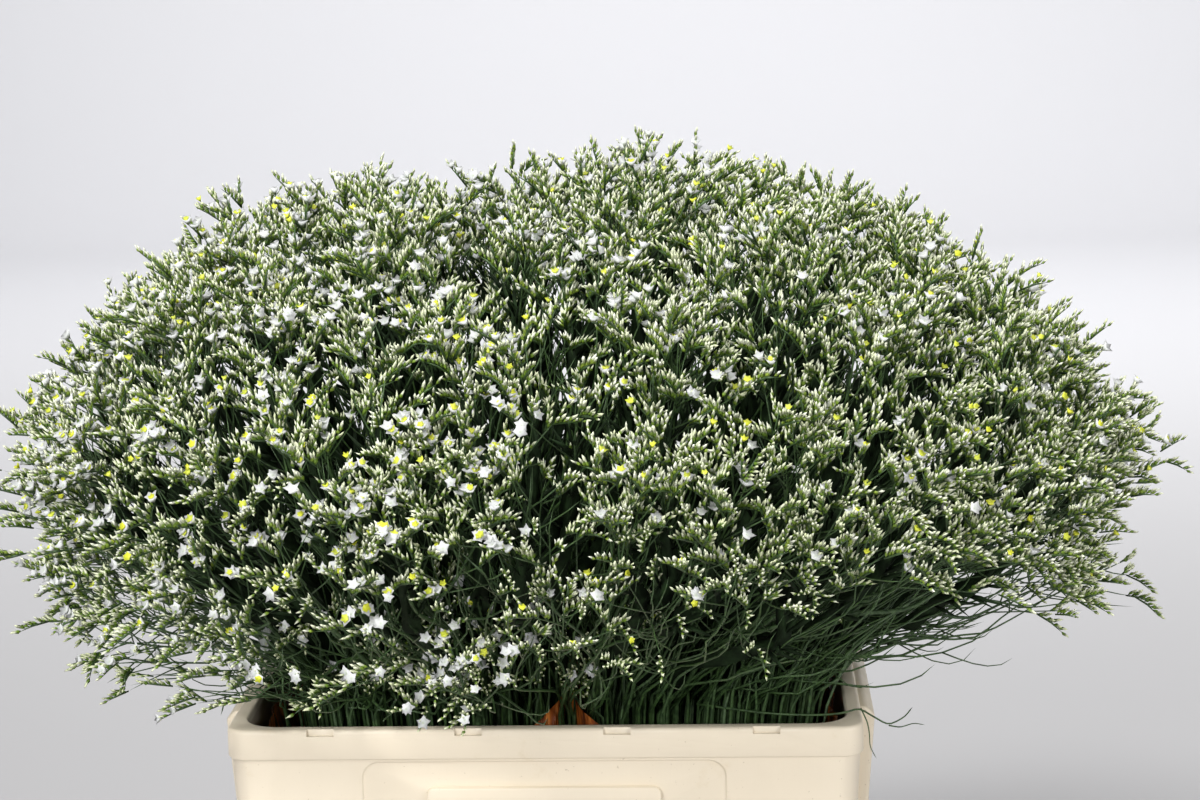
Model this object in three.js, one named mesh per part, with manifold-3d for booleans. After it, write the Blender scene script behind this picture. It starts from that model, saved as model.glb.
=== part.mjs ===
// Two bunches of statice standing side by side in a rectangular flower bucket.
// Units are millimetres and +Z is up. The origin is the centre of the bucket's underside, +X runs
// along its long side, and the front panel faces -Y.

import * as THREE from 'three';
import { mergeVertices } from 'three/addons/utils/BufferGeometryUtils.js';
import Module from 'manifold-3d';

const wasm = await Module();
wasm.setup();

// Bucket
const RIM_LENGTH = 400;
const RIM_WIDTH = 300;
const BUCKET_HEIGHT = 350;
const BASE_LENGTH = 366;
const BASE_WIDTH = 266;
const RIM_BAND = 19;
const RIM_STEP = 1.8;
const RIM_CORNER = 14;
const BASE_CORNER = 24;
const WALL = 3.5;
const FLOOR = 4;
const LIP_THICKNESS = 5;
const MOUTH_LENGTH = 380;
const MOUTH_WIDTH = 280;
const MOUTH_CORNER = 22;
const CORNER_STEPS = 3;

// Notches in the top edge of the two long sides
const NOTCH_PITCH = 93;
const NOTCH_LENGTH = 17;
const NOTCH_HEIGHT = 4;
const NOTCH_DEPTH = 3;

// Sunken panel in the front and the back, with a grip ledge inside it
const PANEL_LENGTH = 229;
const PANEL_TOP = 21;
const PANEL_HEIGHT = 150;
const PANEL_CORNER = 11;
const PANEL_DEPTH = 1.2;
const LEDGE_LENGTH = 147;
const LEDGE_TOP = 38;
const LEDGE_HEIGHT = 14;
const LEDGE_PROUD = 3;
const LEDGE_TAB = 5;

// Grip pads on the two short ends
const GRIP_LENGTH = 180;
const GRIP_HEIGHT = 86;
const GRIP_PROUD = 10;
const GRIP_SLOPE = 6;
const GRIP_DROP = 4;

// Film wraps, one round the lower stems of each bunch
const FILM = 1;
const FILM_FOOT = 5;
const FILM_CLEARANCE = 10;
const FILM_CORNER = 26;
const FILM_RIPPLE = 3;
const FILM_WAVE = 2.1;
const FILM_OUTER_TOP = 334;
const FILM_INNER_RISE = 30;
const FILM_RISE_SHARPNESS = 4;

// Crown: the surface that the tips of the sprays reach
const CROWN_X = 16;
const CROWN_Z = 510;
const CROWN_HALF_WIDTH = 374;
const CROWN_HALF_DEPTH = 312;
const CROWN_RISE = 199;
const CROWN_DROP = 350;
const LOW_EDGE_LEFT = 362;
const LOW_EDGE_RIGHT = 438;
const LOW_EDGE_LEFT_FRONT = 404;
const LOW_EDGE_RIGHT_FRONT = 502;
const LOW_EDGE_MEAN = 428;
const VALLEY_X = -42;
const VALLEY_DEPTH = 24;
const VALLEY_WIDTH = 50;
const SHOULDERS = [
  { start: 190, end: 390, drop: 30 },
  { start: -230, end: -330, drop: 20 },
];
const UP_PULL = 0.8;
const UP_PULL_LOW = 0.42;

// Growth: stems, and the plumes that they end in
const STEMS = 42;
const PLUMES = 206;
const SPREAD_ROUNDS = 4;
const GOLDEN_ANGLE = Math.PI * (3 - Math.sqrt(5));
const SEED = 20251;
const PLUME_STRIDE = 7919;
const ITEM_STRIDE = 104729;
const SCATTER = 0.2;
const LENGTH_SCATTER = 8;
const LENGTH_MIDDLE = 0.6;
const TILT_SCATTER = 0.2;
const STEM_CLEAR_OF_FLOOR = 0.5;
const MOUTH_REACH_X = 163;
const MOUTH_REACH_Y = 122;
const FOOT_REACH_X = 112;
const FOOT_REACH_Y = 86;
const SQUARENESS = 3;
const LEAN_MIDDLE = 0.25;
const LEAN_EDGE = 1;
const MOUTH_PULL = 0.36;
const CROWN_PULL = 0.3;
const BUNCH_SPLIT = 0.085;
const FOOT_GAP = 40;
const MOUTH_GAP = 24;
const STEM_FOOT_RADIUS = 3;
const STEM_MOUTH_RADIUS = 2.6;
const STEM_TOP_RADIUS = 1.7;
const TWIG_RADIUS = 1.2;
const TRUNK_HEIGHTS = [-1, 0, 0.22, 0.42, 0.58, 0.72, 0.86, 1];
const TRUNK_REACH = [0, 0, 0, 0, 0.55, 0.6, 0.65, 0.7];
const TRUNK_CORE = 3.6;
const LONGEST_STRAIGHT = 120;
const TWIG_BEND = 0.62;
const LOWEST_FORK = 0.3;
const HIGHEST_FORK = 0.66;

// Plume: a spray of spikes, as a body whose rings are drawn out into forward-leaning teeth
const PLUME_LENGTH = 92;
const PLUME_RADIUS = 46;
const PLUME_CORE = 7;
const CLEARANCE = 0.9;
const TOOTH_LEAN = 0.7;
const TOOTH_SCATTER = 0.2;
const TOOTH_HALF_ROOT = 9;
const TOOTH_SAMPLES = [0.4, 0.7, 1];
const SHORTEST_TOOTH = 9;
const TOOTH_SHRINK = 0.93;
const RING_TWIST = 0.42;
const RING_PLACES = [0.12, 0.3, 0.47, 0.64, 0.8];
const RING_CORE = [5.5, 7, 7, 5.5, 3.5];
const RING_REACH = [0.8, 1, 0.9, 0.65, 0.4];

// Sprays that reach past the crown, seen from the front: x and z of their tips. Of the plumes near
// such a tip, one near the crown's middle depth is the one that reaches out.
const DEPTH_WEIGHT = 0.7;
const LONG_SPRAYS = [
  [-26, 706], [20, 705], [102, 709], [203, 681], [252, 657], [288, 651], [-202, 688],
  [-362, 500], [-346, 432], [-324, 376],
  [322, 612], [368, 556], [414, 520], [406, 424],
];

const LEAF_GREEN = new THREE.MeshStandardMaterial({ color: 0x8f9f78, roughness: 0.75, metalness: 0 });
const CREAM = new THREE.MeshStandardMaterial({ color: 0xe7dbc7, roughness: 0.45, metalness: 0 });
const ORANGE_FILM = new THREE.MeshStandardMaterial({ color: 0xb8662c, roughness: 0.3, metalness: 0 });

// Seeded draw between 0 and 1, the same for the same item of the same plume
function draw(plume, item) {
  let state = (SEED + plume * PLUME_STRIDE + item * ITEM_STRIDE) >>> 0;
  state = Math.imul(state ^ (state >>> 15), state | 1) >>> 0;
  state = (state ^ (state + Math.imul(state ^ (state >>> 7), state | 61))) >>> 0;
  return ((state ^ (state >>> 14)) >>> 0) / 4294967296;
}

function smoothStep(value) {
  const t = Math.min(Math.max(value, 0), 1);
  return t * t * (3 - 2 * t);
}

// Closed mesh through rings of points that all have the same count. Each face between two rings is
// split along its shorter diagonal. The first end is a flat cap, and the last is one too or a tip.
function skin(rings, tip = null) {
  const points = rings.flat();
  const count = rings[0].length;
  const faces = [];
  for (let i = 2; i < count; i += 1) {
    faces.push(0, i, i - 1);
  }
  for (let ring = 0; ring + 1 < rings.length; ring += 1) {
    for (let i = 0; i < count; i += 1) {
      const a = ring * count + i;
      const b = ring * count + ((i + 1) % count);
      const across = points[a].distanceTo(points[b + count]);
      if (across < points[b].distanceTo(points[a + count])) {
        faces.push(a, b, b + count, a, b + count, a + count);
      } else {
        faces.push(a, b, a + count, b, b + count, a + count);
      }
    }
  }
  const last = (rings.length - 1) * count;
  if (tip) {
    points.push(tip);
    for (let i = 0; i < count; i += 1) {
      faces.push(last + i, last + ((i + 1) % count), points.length - 1);
    }
  } else {
    for (let i = 2; i < count; i += 1) {
      faces.push(last, last + i - 1, last + i);
    }
  }
  return indexedGeometry(points.flatMap((p) => [p.x, p.y, p.z]), faces);
}

function indexedGeometry(positions, faces) {
  const geometry = new THREE.BufferGeometry();
  geometry.setAttribute('position', new THREE.Float32BufferAttribute(positions, 3));
  geometry.setIndex(faces);
  return geometry;
}

function toSolid(source) {
  const geometry = source.clone();
  geometry.deleteAttribute('normal');
  geometry.deleteAttribute('uv');
  const merged = mergeVertices(geometry, 1e-4);
  const vertProperties = new Float32Array(merged.attributes.position.array);
  const triVerts = new Uint32Array(merged.index.array);
  return new wasm.Manifold(new wasm.Mesh({ numProp: 3, vertProperties, triVerts }));
}

function toGeometry(solid) {
  const mesh = solid.getMesh();
  return indexedGeometry(Array.from(mesh.vertProperties), Array.from(mesh.triVerts));
}

// Ring of points round a rectangle with round corners, anticlockwise seen from above
function roundedRing(length, width, corner, z) {
  const ring = [];
  for (const [side, sx, sy] of [[0, 1, 1], [1, -1, 1], [2, -1, -1], [3, 1, -1]]) {
    const cx = sx * (length / 2 - corner);
    const cy = sy * (width / 2 - corner);
    for (let step = 0; step <= CORNER_STEPS; step += 1) {
      const angle = (side + step / CORNER_STEPS) * (Math.PI / 2);
      ring.push(new THREE.Vector3(cx + corner * Math.cos(angle), cy + corner * Math.sin(angle), z));
    }
  }
  return ring;
}

// Bucket wall at a height, as the outer length and width
function wallSize(z) {
  const share = z / (BUCKET_HEIGHT - RIM_BAND);
  const length = BASE_LENGTH + (RIM_LENGTH - 2 * RIM_STEP - BASE_LENGTH) * share;
  const width = BASE_WIDTH + (RIM_WIDTH - 2 * RIM_STEP - BASE_WIDTH) * share;
  return [length, width];
}

// Tapered shell with a rim band outside and a lip that narrows the mouth
function bucketShell() {
  const under = BUCKET_HEIGHT - RIM_BAND;
  const lipUnder = BUCKET_HEIGHT - LIP_THICKNESS;
  const [bandLength, bandWidth] = wallSize(under);
  const [floorLength, floorWidth] = wallSize(FLOOR);
  return skin([
    roundedRing(BASE_LENGTH, BASE_WIDTH, BASE_CORNER, 0),
    roundedRing(bandLength, bandWidth, RIM_CORNER, under),
    roundedRing(RIM_LENGTH, RIM_WIDTH, RIM_CORNER, under),
    roundedRing(RIM_LENGTH, RIM_WIDTH, RIM_CORNER, BUCKET_HEIGHT),
    roundedRing(MOUTH_LENGTH, MOUTH_WIDTH, MOUTH_CORNER, BUCKET_HEIGHT),
    roundedRing(MOUTH_LENGTH, MOUTH_WIDTH, MOUTH_CORNER, lipUnder),
    roundedRing(RIM_LENGTH - 2 * WALL, RIM_WIDTH - 2 * WALL, RIM_CORNER - WALL, lipUnder),
    roundedRing(floorLength - 2 * WALL, floorWidth - 2 * WALL, BASE_CORNER - WALL, FLOOR),
  ]);
}

// Plate with round corners that stands on a long side of the bucket, leaning with its wall. Its
// outer face is offset from the wall by the given depth, and its inner face by the other.
function wallPlate(length, top, height, corner, outer, inner) {
  const shape = new THREE.Shape();
  const half = length / 2;
  shape.moveTo(-half + corner, -height);
  shape.lineTo(half - corner, -height);
  shape.absarc(half - corner, -height + corner, corner, -Math.PI / 2, 0, false);
  shape.lineTo(half, -corner);
  shape.absarc(half - corner, -corner, corner, 0, Math.PI / 2, false);
  shape.lineTo(-half + corner, 0);
  shape.absarc(-half + corner, -corner, corner, Math.PI / 2, Math.PI, false);
  shape.lineTo(-half, -height + corner);
  shape.absarc(-half + corner, -height + corner, corner, Math.PI, Math.PI * 1.5, false);
  const options = { depth: outer - inner, bevelEnabled: false, curveSegments: CORNER_STEPS };
  const plate = new THREE.ExtrudeGeometry(shape, options);
  const z = BUCKET_HEIGHT - top;
  const lean = Math.atan((wallSize(z)[1] - wallSize(z - height)[1]) / 2 / height);
  plate.translate(0, 0, inner);
  plate.rotateX(Math.PI / 2 - lean);
  plate.translate(0, -wallSize(z)[1] / 2, z);
  return plate;
}

function boxAt(sizeX, sizeY, sizeZ, x, y, z) {
  return new THREE.BoxGeometry(sizeX, sizeY, sizeZ).translate(x, y, z);
}

function notchCutters() {
  const cutters = [];
  for (const step of [-1.5, -0.5, 0.5, 1.5]) {
    const y = -RIM_WIDTH / 2;
    const z = BUCKET_HEIGHT;
    cutters.push(boxAt(NOTCH_LENGTH, 2 * NOTCH_DEPTH, 2 * NOTCH_HEIGHT, step * NOTCH_PITCH, y, z));
  }
  return cutters;
}

// Grip pad on the right end: its outer face slopes in towards its lower edge
function gripPad() {
  const top = BUCKET_HEIGHT - GRIP_DROP;
  const proud = RIM_LENGTH / 2 + GRIP_PROUD;
  const shape = new THREE.Shape();
  shape.moveTo(RIM_LENGTH / 2 - RIM_STEP - WALL, top);
  shape.lineTo(RIM_LENGTH / 2 - GRIP_SLOPE, top - GRIP_HEIGHT);
  shape.lineTo(proud - GRIP_SLOPE, top - GRIP_HEIGHT);
  shape.lineTo(proud, top - GRIP_SLOPE);
  shape.lineTo(proud - GRIP_SLOPE, top);
  const pad = new THREE.ExtrudeGeometry(shape, { depth: GRIP_LENGTH, bevelEnabled: false });
  pad.rotateX(Math.PI / 2);
  pad.translate(0, GRIP_LENGTH / 2, 0);
  return pad;
}

function bucketGeometry() {
  let solid = toSolid(bucketShell());
  const grip = toSolid(gripPad());
  solid = solid.add(grip).add(grip.rotate([0, 0, 180]));
  const cuts = notchCutters();
  cuts.push(wallPlate(PANEL_LENGTH, PANEL_TOP, PANEL_HEIGHT, PANEL_CORNER, PANEL_DEPTH * 3, -PANEL_DEPTH));
  const ledge = wallPlate(LEDGE_LENGTH, LEDGE_TOP, LEDGE_HEIGHT, LEDGE_TAB, LEDGE_PROUD, -WALL / 2);
  for (const angle of [0, Math.PI]) {
    for (const cut of cuts) {
      solid = solid.subtract(toSolid(cut.clone().rotateZ(angle)));
    }
    solid = solid.add(toSolid(ledge.clone().rotateZ(angle)));
  }
  return toGeometry(solid);
}

// Lowest angle that the crown reaches on each side, measured down from its top
function lowestAngle(azimuth) {
  const rightwards = smoothStep(Math.cos(azimuth) + 0.5);
  const frontEdge = LOW_EDGE_LEFT_FRONT + (LOW_EDGE_RIGHT_FRONT - LOW_EDGE_LEFT_FRONT) * rightwards;
  const sideEdge = Math.cos(azimuth) < 0 ? LOW_EDGE_LEFT : LOW_EDGE_RIGHT;
  const edge = frontEdge + (sideEdge - frontEdge) * Math.cos(azimuth) ** 2;
  return Math.PI / 2 + Math.asin((CROWN_Z - edge) / CROWN_DROP);
}

// Angle down from the crown's top that holds the given share of its surface
const ANGLE_STEPS = 240;
const MEAN_LOWEST = Math.PI / 2 + Math.asin((CROWN_Z - LOW_EDGE_MEAN) / CROWN_DROP);
const surfaceUpTo = [0];
for (let step = 1; step <= ANGLE_STEPS; step += 1) {
  const angle = ((step - 0.5) / ANGLE_STEPS) * MEAN_LOWEST;
  const radius = (CROWN_HALF_WIDTH + CROWN_HALF_DEPTH) / 2;
  const fall = (angle < Math.PI / 2 ? CROWN_RISE : CROWN_DROP) * Math.sin(angle);
  const band = radius * Math.sin(angle) * Math.hypot(radius * Math.cos(angle), fall);
  surfaceUpTo.push(surfaceUpTo[step - 1] + band);
}

function crownAngle(share) {
  const wanted = share * surfaceUpTo[ANGLE_STEPS];
  let step = 1;
  while (step < ANGLE_STEPS && surfaceUpTo[step] < wanted) {
    step += 1;
  }
  const part = (wanted - surfaceUpTo[step - 1]) / (surfaceUpTo[step] - surfaceUpTo[step - 1]);
  return ((step - 1 + part) / ANGLE_STEPS) * MEAN_LOWEST;
}

// Place and direction of a spray's tip, for its place in the unit disc that stands for the crown
function crownTip(u, v) {
  const rho = Math.hypot(u, v);
  const azimuth = Math.atan2(v, u);
  const stretch = 1 + (lowestAngle(azimuth) / MEAN_LOWEST - 1) * rho ** 4;
  const angle = crownAngle(rho * rho) * stretch;
  const height = angle < Math.PI / 2 ? CROWN_RISE : CROWN_DROP;
  const out = Math.sin(angle);
  const x = CROWN_HALF_WIDTH * out * Math.cos(azimuth);
  const y = CROWN_HALF_DEPTH * out * Math.sin(azimuth);
  const z = height * Math.cos(angle);
  const outward = new THREE.Vector3(x / CROWN_HALF_WIDTH ** 2, y / CROWN_HALF_DEPTH ** 2, z / height ** 2);
  outward.normalize();
  const low = smoothStep((angle - Math.PI / 2) / (Math.PI / 6));
  outward.z += UP_PULL + (UP_PULL_LOW - UP_PULL) * low;
  outward.normalize();
  const tip = new THREE.Vector3(x + CROWN_X, y, z + CROWN_Z);
  const upper = smoothStep(z / CROWN_RISE);
  const valley = VALLEY_DEPTH * Math.exp(-(((tip.x - VALLEY_X) / VALLEY_WIDTH) ** 2));
  tip.z -= valley * upper;
  for (const { start, end, drop } of SHOULDERS) {
    tip.z -= drop * smoothStep((x + CROWN_X - start) / (end - start)) * upper;
  }
  return { tip, direction: outward };
}

// Stem place in the bucket's mouth or on its floor: the disc is drawn out to a rounded rectangle,
// and each bunch is moved away from the other
function levelPoint(u, v, bunch, reachX, reachY, gap, z) {
  const azimuth = Math.atan2(v, u);
  const sum = Math.abs(Math.cos(azimuth)) ** SQUARENESS + Math.abs(Math.sin(azimuth)) ** SQUARENESS;
  const square = sum ** (-1 / SQUARENESS);
  return new THREE.Vector3(u * square * reachX + (bunch * gap) / 2, v * square * reachY, z);
}

// Path of growth for a place in the disc: height -1 is the stem's foot, 0 the bucket's mouth, and 1
// the base of the plume
function growthPoint(u, v, bunch, height, plume) {
  const foot = levelPoint(u, v, bunch, FOOT_REACH_X, FOOT_REACH_Y, FOOT_GAP, FLOOR + STEM_CLEAR_OF_FLOOR);
  const mouth = levelPoint(u, v, bunch, MOUTH_REACH_X, MOUTH_REACH_Y, MOUTH_GAP, BUCKET_HEIGHT);
  if (height <= 0) {
    return mouth.lerp(foot, -height);
  }
  const { base, direction } = plume;
  const span = mouth.distanceTo(base);
  const rho = Math.hypot(u, v);
  const lean = new THREE.Vector3(u, v, 0).multiplyScalar(LEAN_MIDDLE + (LEAN_EDGE - LEAN_MIDDLE) * rho);
  lean.z = 1;
  lean.normalize();
  const first = mouth.clone().addScaledVector(lean, span * MOUTH_PULL);
  const second = base.clone().addScaledVector(direction, -span * CROWN_PULL);
  return new THREE.CubicBezierCurve3(mouth, first, second, base).getPoint(height);
}

function plumeEnds(u, v, extra, tilt) {
  const { tip, direction } = crownTip(u, v);
  tip.addScaledVector(direction, extra);
  direction.add(tilt).normalize();
  const base = tip.clone().addScaledVector(direction, -PLUME_LENGTH);
  return { tip, base, direction };
}

// Plumes on an even spiral over the disc, with a little scatter
function makePlumes() {
  const plumes = [];
  for (let i = 0; i < PLUMES; i += 1) {
    const spacing = SCATTER / Math.sqrt(PLUMES);
    const rho = Math.sqrt((i + 0.5) / PLUMES);
    const azimuth = i * GOLDEN_ANGLE;
    const u = rho * Math.cos(azimuth) + (draw(i, 0) - 0.5) * 2 * spacing;
    const v = rho * Math.sin(azimuth) + (draw(i, 1) - 0.5) * 2 * spacing;
    const fit = Math.min(1, 1 / Math.hypot(u, v));
    const extra = (draw(i, 2) - LENGTH_MIDDLE) * 2 * LENGTH_SCATTER;
    const tilt = new THREE.Vector3(draw(i, 4) - 0.5, draw(i, 5) - 0.5, 0).multiplyScalar(2 * TILT_SCATTER);
    plumes.push({ index: i, u: u * fit, v: v * fit, ...plumeEnds(u * fit, v * fit, extra, tilt) });
  }
  return plumes;
}

// Moves the plume that is nearest to each long spray's tip out to that tip
function reachOut(plumes) {
  for (const [x, z] of LONG_SPRAYS) {
    let nearest = null;
    let best = Infinity;
    for (const plume of plumes) {
      const distance = Math.hypot(plume.tip.x - x, plume.tip.y * DEPTH_WEIGHT, plume.tip.z - z);
      if (distance < best && !plume.long) {
        best = distance;
        nearest = plume;
      }
    }
    nearest.long = true;
    nearest.tip.x = x;
    nearest.tip.z = z;
    nearest.base.copy(nearest.tip).addScaledVector(nearest.direction, -PLUME_LENGTH);
  }
}

// Stems as the middles of neighbouring plumes, spread evenly over the disc
function makeStems(plumes) {
  let middles = [];
  for (let i = 0; i < STEMS; i += 1) {
    const rho = Math.sqrt((i + 0.5) / STEMS);
    middles.push([rho * Math.cos(i * GOLDEN_ANGLE + 1), rho * Math.sin(i * GOLDEN_ANGLE + 1)]);
  }
  let groups = [];
  for (let round = 0; round < SPREAD_ROUNDS; round += 1) {
    groups = middles.map(() => []);
    for (const plume of plumes) {
      const distances = middles.map(([u, v]) => Math.hypot(plume.u - u, plume.v - v));
      groups[distances.indexOf(Math.min(...distances))].push(plume);
    }
    middles = groups.map((group) => [meanOf(group, 'u'), meanOf(group, 'v')]);
  }
  return groups.map((group, i) => ({ u: middles[i][0], v: middles[i][1], plumes: group }));
}

function meanOf(items, key) {
  return items.reduce((sum, item) => sum + item[key], 0) / items.length;
}

function between(first, second, share) {
  const blend = { base: first.base.clone().lerp(second.base, share) };
  blend.direction = first.direction.clone().lerp(second.direction, share).normalize();
  return blend;
}

// Point on a line of straight pieces whose ends lie at the given heights
function pointAtHeight(points, heights, height) {
  let i = 1;
  while (i < heights.length - 1 && heights[i] < height) {
    i += 1;
  }
  const share = (height - heights[i - 1]) / (heights[i] - heights[i - 1]);
  return points[i - 1].clone().lerp(points[i], share);
}

// Skeleton of a stem: its trunk, which runs on into the middle plume, and its side twigs
function layOutStem(stem) {
  const bunch = stem.u < BUNCH_SPLIT ? -1 : 1;
  const away = (plume) => Math.hypot(plume.u - stem.u, plume.v - stem.v);
  const [middle, ...others] = [...stem.plumes].sort((a, b) => away(a) - away(b));
  const own = { u: stem.u, v: stem.v, ...plumeEnds(stem.u, stem.v, 0, new THREE.Vector3()) };
  const trunk = TRUNK_HEIGHTS.map((height) => {
    const share = smoothStep((height - LOWEST_FORK) / (1 - LOWEST_FORK));
    return onTheWay(own, middle, share, bunch, height);
  });
  const shoots = [{ plume: middle, points: trunk, radii: trunkRadii(), reaches: TRUNK_REACH }];
  others.forEach((plume, i) => {
    const late = others.length > 1 ? 1 - i / (others.length - 1) : 0.5;
    const fork = LOWEST_FORK + (HIGHEST_FORK - LOWEST_FORK) * late;
    const root = pointAtHeight(trunk, TRUNK_HEIGHTS, fork);
    const points = [root, plume.base];
    if (root.distanceTo(plume.base) > LONGEST_STRAIGHT) {
      points.splice(1, 0, onTheWay(own, plume, TWIG_BEND, bunch, (1 + fork) / 2));
    }
    const reaches = points.map(() => 0);
    shoots.push({ plume, points, radii: points.map(() => TWIG_RADIUS), reaches });
  });
  return { bunch, shoots };
}

function trunkRadii() {
  return TRUNK_HEIGHTS.map((height, i) => {
    if (TRUNK_REACH[i] > 0) {
      return TRUNK_CORE;
    }
    if (height <= 0) {
      return STEM_MOUTH_RADIUS + (STEM_MOUTH_RADIUS - STEM_FOOT_RADIUS) * height;
    }
    return STEM_MOUTH_RADIUS + (STEM_TOP_RADIUS - STEM_MOUTH_RADIUS) * height;
  });
}

// Point between the stem's own path and a plume's path
function onTheWay(own, plume, share, bunch, height) {
  const u = own.u + (plume.u - own.u) * share;
  const v = own.v + (plume.v - own.v) * share;
  return growthPoint(u, v, bunch, height, between(own, plume, share));
}

// Shortest distance between two straight pieces
function gapBetween(a, b, c, d) {
  const STEPS = 12;
  const onFirst = new THREE.Vector3();
  const onSecond = new THREE.Vector3();
  const second = new THREE.Line3(c, d);
  let best = Infinity;
  for (let i = 0; i <= STEPS; i += 1) {
    onFirst.lerpVectors(a, b, i / STEPS);
    second.closestPointToPoint(onFirst, true, onSecond);
    best = Math.min(best, onFirst.distanceTo(onSecond));
  }
  return best;
}

// What other shoots have near a shoot's teeth: plume axes, and trunks and twigs
function neighboursOf(shoot, stems) {
  const { plume, points } = shoot;
  const start = points[Math.max(0, shoot.reaches.findIndex((reach) => reach > 0))];
  const found = [];
  const consider = (from, to, radius, isToothed) => {
    const upper = gapBetween(plume.base, plume.tip, from, to);
    const lower = gapBetween(start, plume.base, from, to);
    if (Math.min(upper, lower) < 2 * PLUME_RADIUS) {
      found.push({ line: new THREE.Line3(from, to), radius, isToothed });
    }
  };
  for (const other of stems.flatMap((stem) => stem.shoots).filter((one) => one !== shoot)) {
    consider(other.plume.base, other.plume.tip, PLUME_CORE, true);
    for (let i = 1; i < other.points.length; i += 1) {
      consider(other.points[i - 1], other.points[i], other.radii[i - 1], other.reaches[i] > 0);
    }
  }
  return found;
}

// Whether a tooth from the plume's core to a point would stay clear of the other shoots
function isClear(centre, point, length, neighbours) {
  const sample = new THREE.Vector3();
  const nearest = new THREE.Vector3();
  return neighbours.every(({ line, radius, isToothed }) => {
    for (const share of TOOTH_SAMPLES) {
      sample.lerpVectors(centre, point, share);
      line.closestPointToPoint(sample, true, nearest);
      const apart = sample.distanceTo(nearest);
      const body = (1 - share) * TOOTH_HALF_ROOT + CLEARANCE;
      if (apart < radius + body || (isToothed && share === 1 && apart < length + CLEARANCE)) {
        return false;
      }
    }
    return true;
  });
}

// Longest tooth, up to the wanted length, that stays clear of the other shoots
function toothPoint(centre, toothAxis, wanted, neighbours) {
  let length = wanted;
  let point = centre.clone().addScaledVector(toothAxis, length);
  while (length > SHORTEST_TOOTH && !isClear(centre, point, length, neighbours)) {
    length *= TOOTH_SHRINK;
    point = centre.clone().addScaledVector(toothAxis, length);
  }
  return point;
}

// Centres, core radii and reaches of all the rings of a shoot, from its root to its last teeth
function ringPlan(shoot) {
  const { plume, points, radii, reaches } = shoot;
  const plan = points.map((centre, i) => ({ centre, radius: radii[i], reach: reaches[i] }));
  RING_PLACES.forEach((place, i) => {
    const centre = plume.base.clone().lerp(plume.tip, place);
    plan.push({ centre, radius: RING_CORE[i], reach: RING_REACH[i] });
  });
  return plan;
}

// A shoot as one closed body of four-sided rings. Where a ring has reach, two of its corners are
// drawn out into teeth that lean forward, each as far as the neighbours leave room, and each such
// ring is turned against the one before it.
function shootGeometry(shoot) {
  const { plume, neighbours } = shoot;
  const plan = ringPlan(shoot);
  const normal = new THREE.Vector3(1, 0, 0);
  let roll = draw(plume.index, 3) * Math.PI * 2;
  const rings = plan.map(({ centre, radius, reach }, i) => {
    const before = plan[Math.max(i - 1, 0)].centre;
    const after = i + 1 < plan.length ? plan[i + 1].centre : plume.tip;
    const axis = after.clone().sub(before).normalize();
    normal.addScaledVector(axis, -normal.dot(axis)).normalize();
    const across = new THREE.Vector3().crossVectors(axis, normal);
    roll += reach > 0 ? RING_TWIST : 0;
    return [0, 1, 2, 3].map((corner) => {
      const angle = roll + (corner * Math.PI) / 2;
      const outward = normal.clone().multiplyScalar(Math.cos(angle)).addScaledVector(across, Math.sin(angle));
      if (reach === 0 || (corner + i) % 2 === 1) {
        return centre.clone().addScaledVector(outward, radius);
      }
      const toothAxis = outward.addScaledVector(axis, TOOTH_LEAN).normalize();
      const size = 1 - TOOTH_SCATTER * draw(plume.index, 10 + i * 4 + corner);
      return toothPoint(centre, toothAxis, PLUME_RADIUS * reach * size, neighbours);
    });
  });
  return skin(rings, plume.tip);
}

function stemGeometry(stem) {
  let solid = toSolid(shootGeometry(stem.shoots[0]));
  for (const shoot of stem.shoots.slice(1)) {
    solid = solid.add(toSolid(shootGeometry(shoot)));
  }
  return toGeometry(solid);
}

// Outline of a film wrap at one level: a round-cornered rectangle about its bunch
function filmRing(bunch, reachX, reachY, gap, z, inset) {
  const length = reachX * (1 - bunch * BUNCH_SPLIT) + 2 * (FILM_CLEARANCE - inset);
  const width = 2 * (reachY + FILM_CLEARANCE - inset);
  const centre = (bunch * gap) / 2 + (reachX * (BUNCH_SPLIT + bunch)) / 2;
  return roundedRing(length, width, FILM_CORNER - inset, z).map((point) => {
    const inner = Math.max(0, (-bunch * point.x) / (length / 2));
    return { point: point.add(new THREE.Vector3(centre, 0, 0)), inner };
  });
}

// Open sleeve of film round one bunch, with a wavy top that is highest next to the other bunch
function filmWrap(bunch) {
  const level = (reach, inset) => filmRing(bunch, ...reach, inset);
  const foot = [FOOT_REACH_X, FOOT_REACH_Y, FOOT_GAP, FILM_FOOT];
  const mouth = [MOUTH_REACH_X, MOUTH_REACH_Y, MOUTH_GAP, FILM_OUTER_TOP];
  const flat = (ring) => ring.map(({ point }) => point);
  const wavy = (ring) => ring.map(({ point, inner }, i) => {
    point.z += FILM_INNER_RISE * inner ** FILM_RISE_SHARPNESS + FILM_RIPPLE * Math.sin(i * FILM_WAVE);
    return point;
  });
  return closedSleeve([
    flat(level(foot, 0)),
    wavy(level(mouth, 0)),
    wavy(level(mouth, FILM)),
    flat(level(foot, FILM)),
  ]);
}

// Closed ring-shaped mesh: the last ring of points joins on to the first
function closedSleeve(rings) {
  const count = rings[0].length;
  const faces = [];
  for (let ring = 0; ring < rings.length; ring += 1) {
    const next = (ring + 1) % rings.length;
    for (let i = 0; i < count; i += 1) {
      const j = (i + 1) % count;
      const a = ring * count;
      const b = next * count;
      faces.push(a + i, a + j, b + j, a + i, b + j, b + i);
    }
  }
  return indexedGeometry(rings.flat().flatMap((p) => [p.x, p.y, p.z]), faces);
}

function addMesh(group, name, geometry, material) {
  geometry.computeVertexNormals();
  const mesh = new THREE.Mesh(geometry, material);
  mesh.name = name;
  group.add(mesh);
}

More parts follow.
